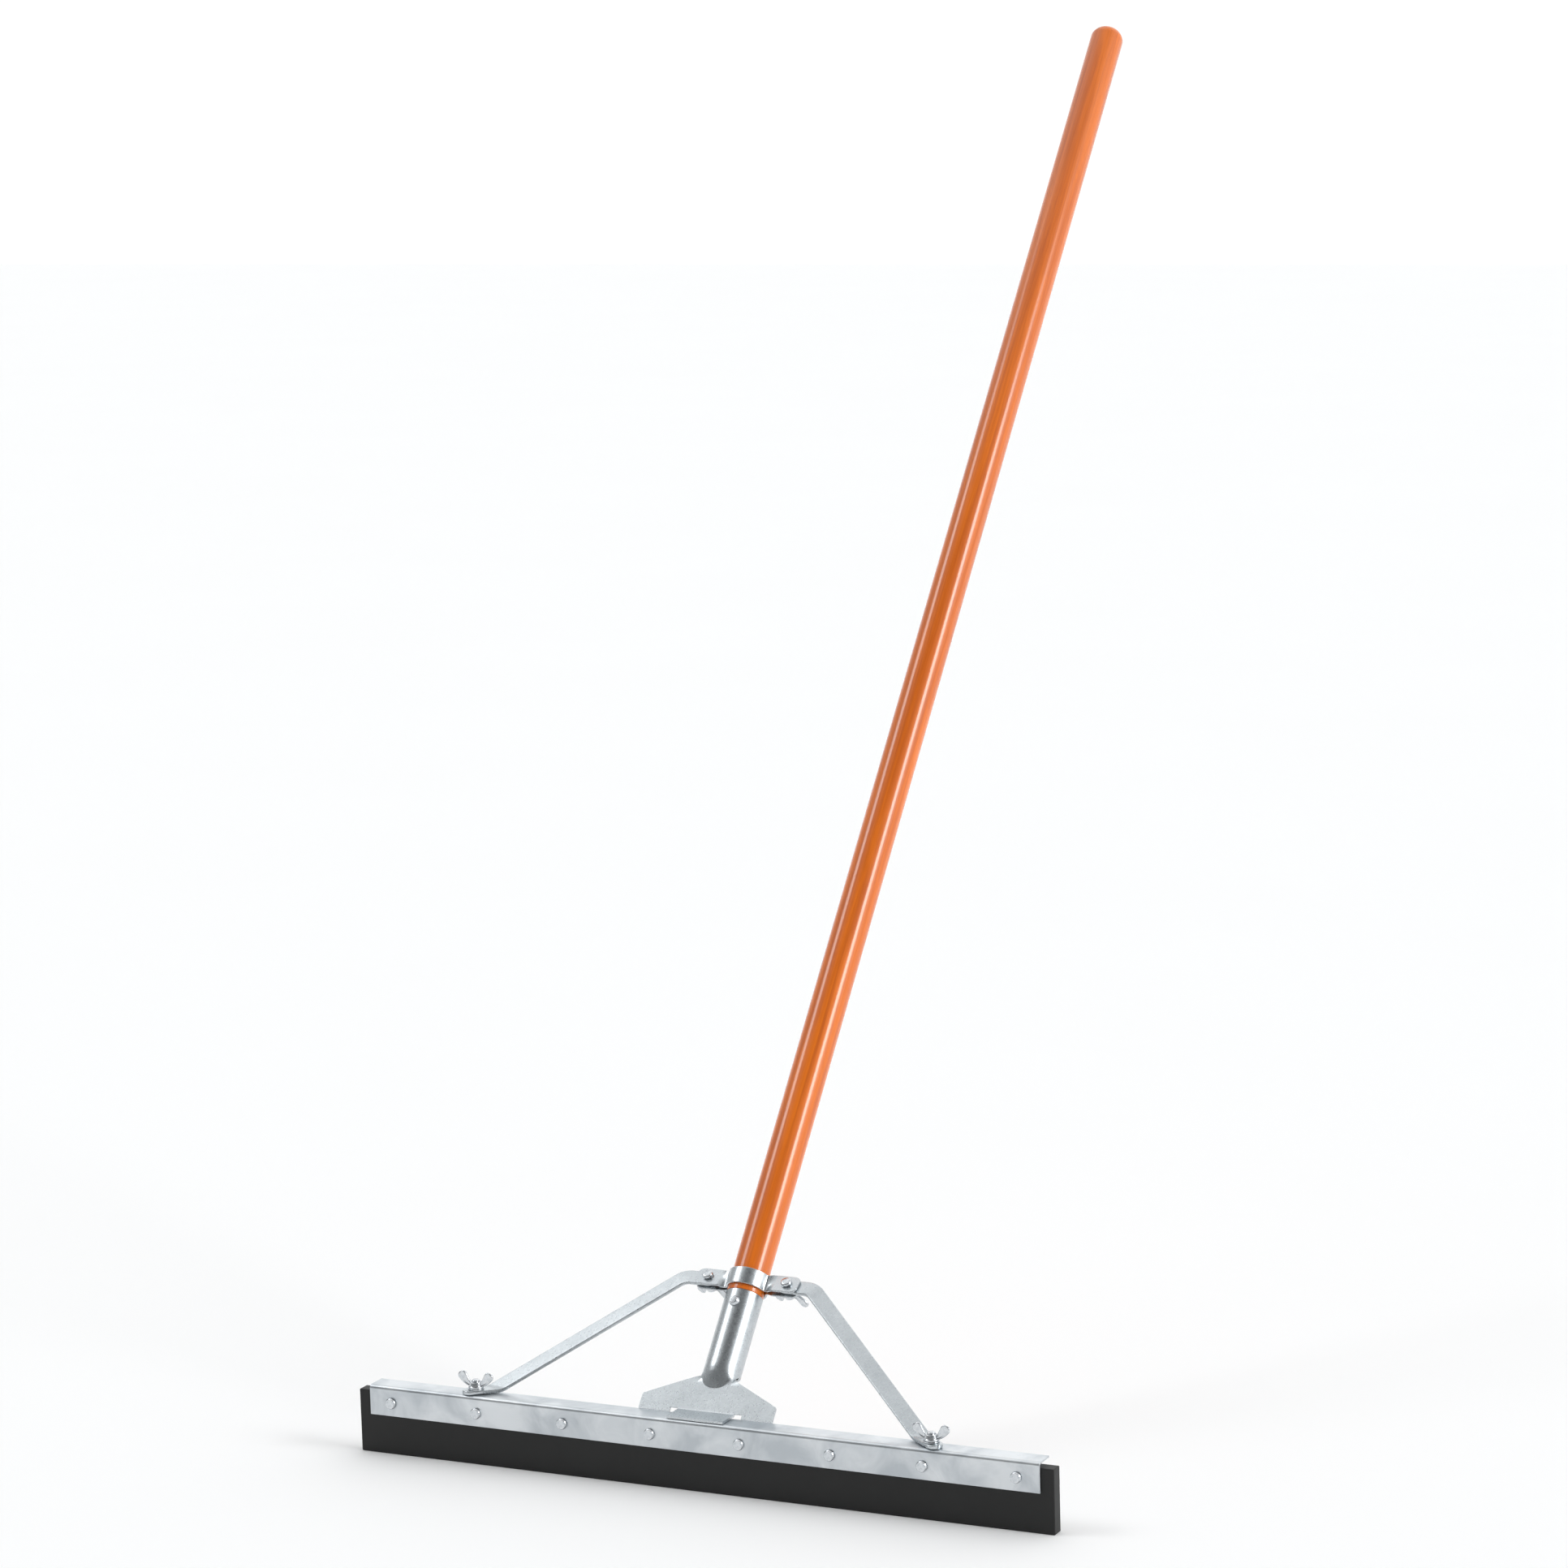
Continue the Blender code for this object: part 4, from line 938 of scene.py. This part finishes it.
class SQUEEGEE_OT_braces(bpy.types.Operator):
    """Flat steel bars folded at both ends."""

    bl_idname = "squeegee.braces"
    bl_label = "Braces"

    def execute(self, context):
        for side, word in SIDES:
            shape = lofted(brace_stations(side), 1.0 * MM)
            piece = add_piece(f"flat_brace_{word}", shape, "bar", f"brace_{word}")
            round_edges(piece, 0.2 * MM, 2, 60.0)
        return {"FINISHED"}


# ---------------- fastenings
BOLT_RADIUS = 3.15 * MM
BOLT_SHOWS = 1.7 * MM     # bolt past the wing nut
THREAD_PITCH = 1.27 * MM
NUT_HEIGHT = 4.6 * MM
NUT_BORE = 3.3 * MM
CLAMP_NUT_TURN = math.radians(10.0)
WASHER_RADIUS = 6.2 * MM
WASHER_BORE = 3.5 * MM
# radius and height of the bolts' heads, in millimetres, from the underside out
FOOT_HEAD = ((7.0, 0.0), (7.0, 0.6), (6.4, 1.3), (3.9, 2.05), (0.0, 2.2))
CLAMP_HEAD = ((4.3, 0.0), (4.3, 1.3), (4.15, 2.1), (3.7, 2.75), (3.3, 2.95), (0.0, 3.0))
# a wing's middle line out and up, its half width and half thickness, in millimetres
WING = (
    (3.7, 1.9, 1.5, 1.4), (5.2, 2.6, 1.9, 1.3), (6.8, 3.7, 2.4, 1.2), (8.2, 5.0, 2.9, 1.15),
    (9.4, 6.4, 3.3, 1.1), (10.5, 7.8, 3.6, 1.1), (11.5, 9.1, 3.7, 1.1),
    (12.2, 10.1, 3.4, 1.05), (12.8, 10.9, 2.6, 0.95), (13.1, 11.4, 1.4, 0.7))


def turned_ring(profile):
    """Return a ring turned from a rounded profile, which is closed on itself."""
    shape = turned([*profile, profile[0]], FASTENING_STEPS)
    bmesh.ops.remove_doubles(shape, verts=shape.verts, dist=0.001 * MM)
    bmesh.ops.recalc_face_normals(shape, faces=shape.faces)
    return shape


def bolt_shape(head, grip):
    """Return a bolt with its head below the grip and its threaded tip past the nut."""
    height = NUT_HEIGHT + BOLT_SHOWS
    bottom = -NUT_STANDOFF + 0.2 * MM
    points = [(0.0, height), (BOLT_RADIUS * 0.74, height)]
    height -= 0.3 * MM
    points.append((BOLT_RADIUS * 0.86, height))
    while height - THREAD_PITCH > bottom:
        points += [(BOLT_RADIUS, height - THREAD_PITCH * 0.28),
                   (BOLT_RADIUS, height - THREAD_PITCH * 0.44),
                   (BOLT_RADIUS * 0.84, height - THREAD_PITCH * 0.86),
                   (BOLT_RADIUS * 0.84, height - THREAD_PITCH)]
        height -= THREAD_PITCH
    under_head = -NUT_STANDOFF - grip - GAP
    points += [(BOLT_RADIUS * 0.98, bottom), (BOLT_RADIUS, under_head)]
    points += [(radius * MM, under_head - down * MM) for radius, down in head]
    return turned(points, FASTENING_STEPS)


def washer_shape():
    """Return a plain washer with softened edges, one gap below the nut."""
    low = -GAP - WASHER_THICK
    return turned_ring(rounded_profile([
        (WASHER_BORE, low + 0.5 * MM, 0), (WASHER_BORE, -GAP, 0.1 * MM),
        (WASHER_RADIUS, -GAP, 0.25 * MM), (WASHER_RADIUS, low, 0.15 * MM),
        (WASHER_BORE, low, 0.1 * MM), (WASHER_BORE, low + 0.3 * MM, 0)]))


def wing_nut_shape():
    """Return a forged wing nut: a round boss and two paddle wings with raised rims."""
    shape = turned_ring(rounded_profile([
        (NUT_BORE, NUT_HEIGHT - 0.4 * MM, 0), (3.6 * MM, NUT_HEIGHT, 0.25 * MM),
        (4.6 * MM, NUT_HEIGHT, 0.5 * MM), (5.2 * MM, 1.7 * MM, 0.8 * MM),
        (5.9 * MM, 0.9 * MM, 0.4 * MM), (5.9 * MM, 0.0, 0.2 * MM), (3.4 * MM, 0.0, 0.2 * MM),
        (NUT_BORE, 0.4 * MM, 0)]))
    for side in (-1, 1):
        stations = []
        for i, (x, z, half_w, half_t) in enumerate(WING):
            before = WING[max(i - 1, 0)]
            after = WING[min(i + 1, len(WING) - 1)]
            run = Vector((after[0] - before[0], 0.0, after[1] - before[1])).normalized()
            stations.append((Vector((side * x, 0.0, z)) * MM, Vector((side * run.z, 0.0, -run.x)),
                             Vector((0.0, 1.0, 0.0)), half_w * MM, half_t * MM))
        wing = lofted(stations, 0.7 * MM, waist=0.30)
        mesh = bpy.data.meshes.new("wing")
        wing.to_mesh(mesh)
        wing.free()
        shape.from_mesh(mesh)
        bpy.data.meshes.remove(mesh)
    return shape


class SQUEEGEE_OT_fastenings(bpy.types.Operator):
    """Bolts, washers and wing nuts of the braces."""

    bl_idname = "squeegee.fastenings"
    bl_label = "Bolts and wing nuts"

    def execute(self, context):
        for which, head, turn, grip in (
                ("foot", FOOT_HEAD, 0.0, SHEET + GAP + BRACE_THICK),
                ("clamp", CLAMP_HEAD, CLAMP_NUT_TURN, CLAMP_GRIP)):
            for _, word in SIDES:
                place = bolt_matrix(which, word)
                spun = place @ Matrix.Rotation(turn, 4, "Z")
                for kind, shape, matrix in (("bolt", bolt_shape(head, grip), place),
                                            ("washer", washer_shape(), place),
                                            ("wing_nut", wing_nut_shape(), spun)):
                    node = f"{which}_{kind}_{word}"
                    add_piece(f"{which}_{kind}_visible_{word}", shape, "fastening", node,
                              matrix, body=HEAD_BODY if kind == "bolt" else node)
        return {"FINISHED"}


# ---------------- stage
# Studio light by direction round the handle, as degrees and level: long soft boxes run beside
# the handle, a bright one right of the viewer and one on the left, with a dark gap between them.
LIGHT_FRONT = Vector((0.494, -0.666, 0.559))
LIGHT_SIDE = Vector((0.869, 0.378, -0.318))
LIGHT_TINT = (0.985, 0.995, 1.0)
LIGHT_LEVEL = 1.08
LIGHT_ROUND = (
    (-180, 1.10), (-152, 0.95), (-130, 0.55), (-106, 0.42), (-92, 0.50), (-86, 2.2), (-80, 5.4),
    (-69, 5.4), (-65, 0.9), (-52, 0.55), (-40, 0.32), (-28, 0.13), (-16, 0.11), (-5, 0.15),
    (12, 0.40), (24, 0.75), (30, 2.5), (34, 11.0), (46, 11.0), (51, 3.5), (60, 1.7), (70, 1.1),
    (84, 0.85), (98, 1.0), (112, 1.5), (130, 1.2), (150, 1.05), (180, 1.10))
LIGHT_ABOVE = (
    (-180, 1.20), (-152, 1.05), (-125, 0.80), (-95, 0.95), (-80, 1.15), (-60, 1.05),
    (-45, 0.85), (-25, 0.80), (0, 0.60), (40, 1.0), (80, 1.0), (130, 1.0), (180, 1.20))
LIGHT_BELOW = (
    (-180, 1.10), (-130, 0.70), (-100, 0.40), (-70, 0.22), (20, 0.22), (40, 0.60), (60, 1.2),
    (100, 1.0), (180, 1.10))
# where the soft boxes fade out, as how much a direction points up the handle
BOX_FOOT = (0.10, 0.31)
BOX_TOP = (0.49, 0.57)
BACKDROP_LEVEL = 1.1
FLOOR_HALF = 14.0

CAMERA_PLACE = Vector((1.5829, -3.0785, 1.1151))
CAMERA_TURN = Euler((math.radians(80.457), math.radians(1.607), math.radians(25.651)), "XYZ")
CAMERA_LENS = 110.3


def add_floor(colours):
    """Add the paper floor just under the rubber's edge."""
    shape = bmesh.new()
    bmesh.ops.create_grid(shape, x_segments=8, y_segments=8, size=FLOOR_HALF)
    mesh = bpy.data.meshes.new("studio_floor")
    shape.to_mesh(mesh)
    shape.free()
    # matt paper: no gloss, and a tone that hardly changes over half a metre
    material, add, place = new_material("matt_paper_floor", Roughness=0.9, Specular_IOR_Level=0.1)
    tone = add("TexNoise", "Fac", place, Scale=1 / (500 * MM))
    duller = tuple(c * 0.985 for c in colours.floor)
    base = add("ValToRGB", "Color", tone, stops=((0.0, duller), (1.0, colours.floor)))
    tree = material.node_tree
    tree.links.new(base, tree.nodes["Principled BSDF"].inputs["Base Color"])
    mesh.materials.append(material)
    floor = bpy.data.objects.new("studio_floor", mesh)
    bpy.context.scene.collection.objects.link(floor)
    floor.location.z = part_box("rubber_blade")[0].z - 0.1 * MM


def add_studio_light(colours):
    """Light the scene from all round, with a plain pale background for the viewer."""
    world = bpy.data.worlds.new("studio_light")
    bpy.context.scene.world = world
    world.use_nodes = True
    world.node_tree.nodes.clear()
    add = partial(add_node, world.node_tree)
    way = add("TexCoord", "Generated")
    ahead, aside, rise = (add("VectorMath", "Value", way, axis, operation="DOT_PRODUCT")
                          for axis in (LIGHT_FRONT, LIGHT_SIDE, UP_HANDLE))
    around = add("Math", "Value", aside, ahead, operation="ARCTAN2")
    share = add("MapRange", "Result", around, From_Min=-math.pi, From_Max=math.pi)
    lights = []
    for stops in (LIGHT_BELOW, LIGHT_ROUND, LIGHT_ABOVE):
        peak = max(level for _, level in stops)
        ramp = [((degrees + 180.0) / 360.0, tuple(tint * level / peak for tint in LIGHT_TINT))
                for degrees, level in stops]
        tone = add("ValToRGB", "Color", share, stops=ramp)
        lights.append(add("Background", "Background", tone, peak * LIGHT_LEVEL))
    lit = lights[0]
    for light, (low, high) in zip(lights[1:], (BOX_FOOT, BOX_TOP)):
        part = add("MapRange", "Result", rise, From_Min=low, From_Max=high,
                   interpolation_type="SMOOTHSTEP")
        lit = add("MixShader", "Shader", part, lit, light)
    seen = add("Background", "Background", (*colours.floor, 1.0), BACKDROP_LEVEL)
    viewed = add("LightPath", "Is Camera Ray")
    add("OutputWorld", None, add("MixShader", "Shader", viewed, lit, seen))


def add_camera():
    """Add the camera, a long lens a little above the head's height."""
    scene = bpy.context.scene
    data = bpy.data.cameras.new("camera")
    data.sensor_width = 36.0
    data.lens = CAMERA_LENS
    data.clip_start = 0.1
    data.clip_end = 60.0
    camera = bpy.data.objects.new("camera", data)
    scene.collection.objects.link(camera)
    camera.location = CAMERA_PLACE
    camera.rotation_euler = CAMERA_TURN
    scene.camera = camera
    scene.view_settings.view_transform = "Standard"


class SQUEEGEE_OT_stage(bpy.types.Operator):
    """Pale floor, studio light and camera."""

    bl_idname = "squeegee.stage"
    bl_label = "Stage"

    def execute(self, context):
        colours = settings()[1]
        add_floor(colours)
        add_studio_light(colours)
        add_camera()
        return {"FINISHED"}


# ---------------- panel and registration
OPERATORS = (
    SQUEEGEE_OT_handle, SQUEEGEE_OT_head_frame, SQUEEGEE_OT_blade, SQUEEGEE_OT_rivets,
    SQUEEGEE_OT_bracket, SQUEEGEE_OT_socket_screw, SQUEEGEE_OT_clamp, SQUEEGEE_OT_braces,
    SQUEEGEE_OT_fastenings, SQUEEGEE_OT_stage)


class SQUEEGEE_PT_pieces(bpy.types.Panel):
    """Lists the settings and the pieces."""

    bl_label = "Floor Squeegee"
    bl_idname = "SQUEEGEE_PT_pieces"
    bl_space_type = "VIEW_3D"
    bl_region_type = "UI"
    bl_category = "Squeegee"

    def draw(self, context):
        for group in settings():
            box = self.layout.box()
            for name in group.bl_rna.properties.keys():
                if name not in ("rna_type", "name"):
                    box.prop(group, name)
        for operator in OPERATORS:
            self.layout.operator(operator.bl_idname)


CLASSES = (SQUEEGEE_PG_colours, SQUEEGEE_PG_sizes, *OPERATORS, SQUEEGEE_PT_pieces)


def register():
    """Register the classes and attach the settings to the scene."""
    for cls in CLASSES:
        bpy.utils.register_class(cls)
    bpy.types.Scene.squeegee_sizes = PointerProperty(type=SQUEEGEE_PG_sizes)
    bpy.types.Scene.squeegee_colours = PointerProperty(type=SQUEEGEE_PG_colours)


def unregister():
    """Take the settings and classes away again."""
    del bpy.types.Scene.squeegee_colours
    del bpy.types.Scene.squeegee_sizes
    for cls in reversed(CLASSES):
        bpy.utils.unregister_class(cls)


def main():
    register()
    for operator in OPERATORS:
        group, name = operator.bl_idname.split(".")
        getattr(getattr(bpy.ops, group), name)()


if __name__ == "__main__":
    main()
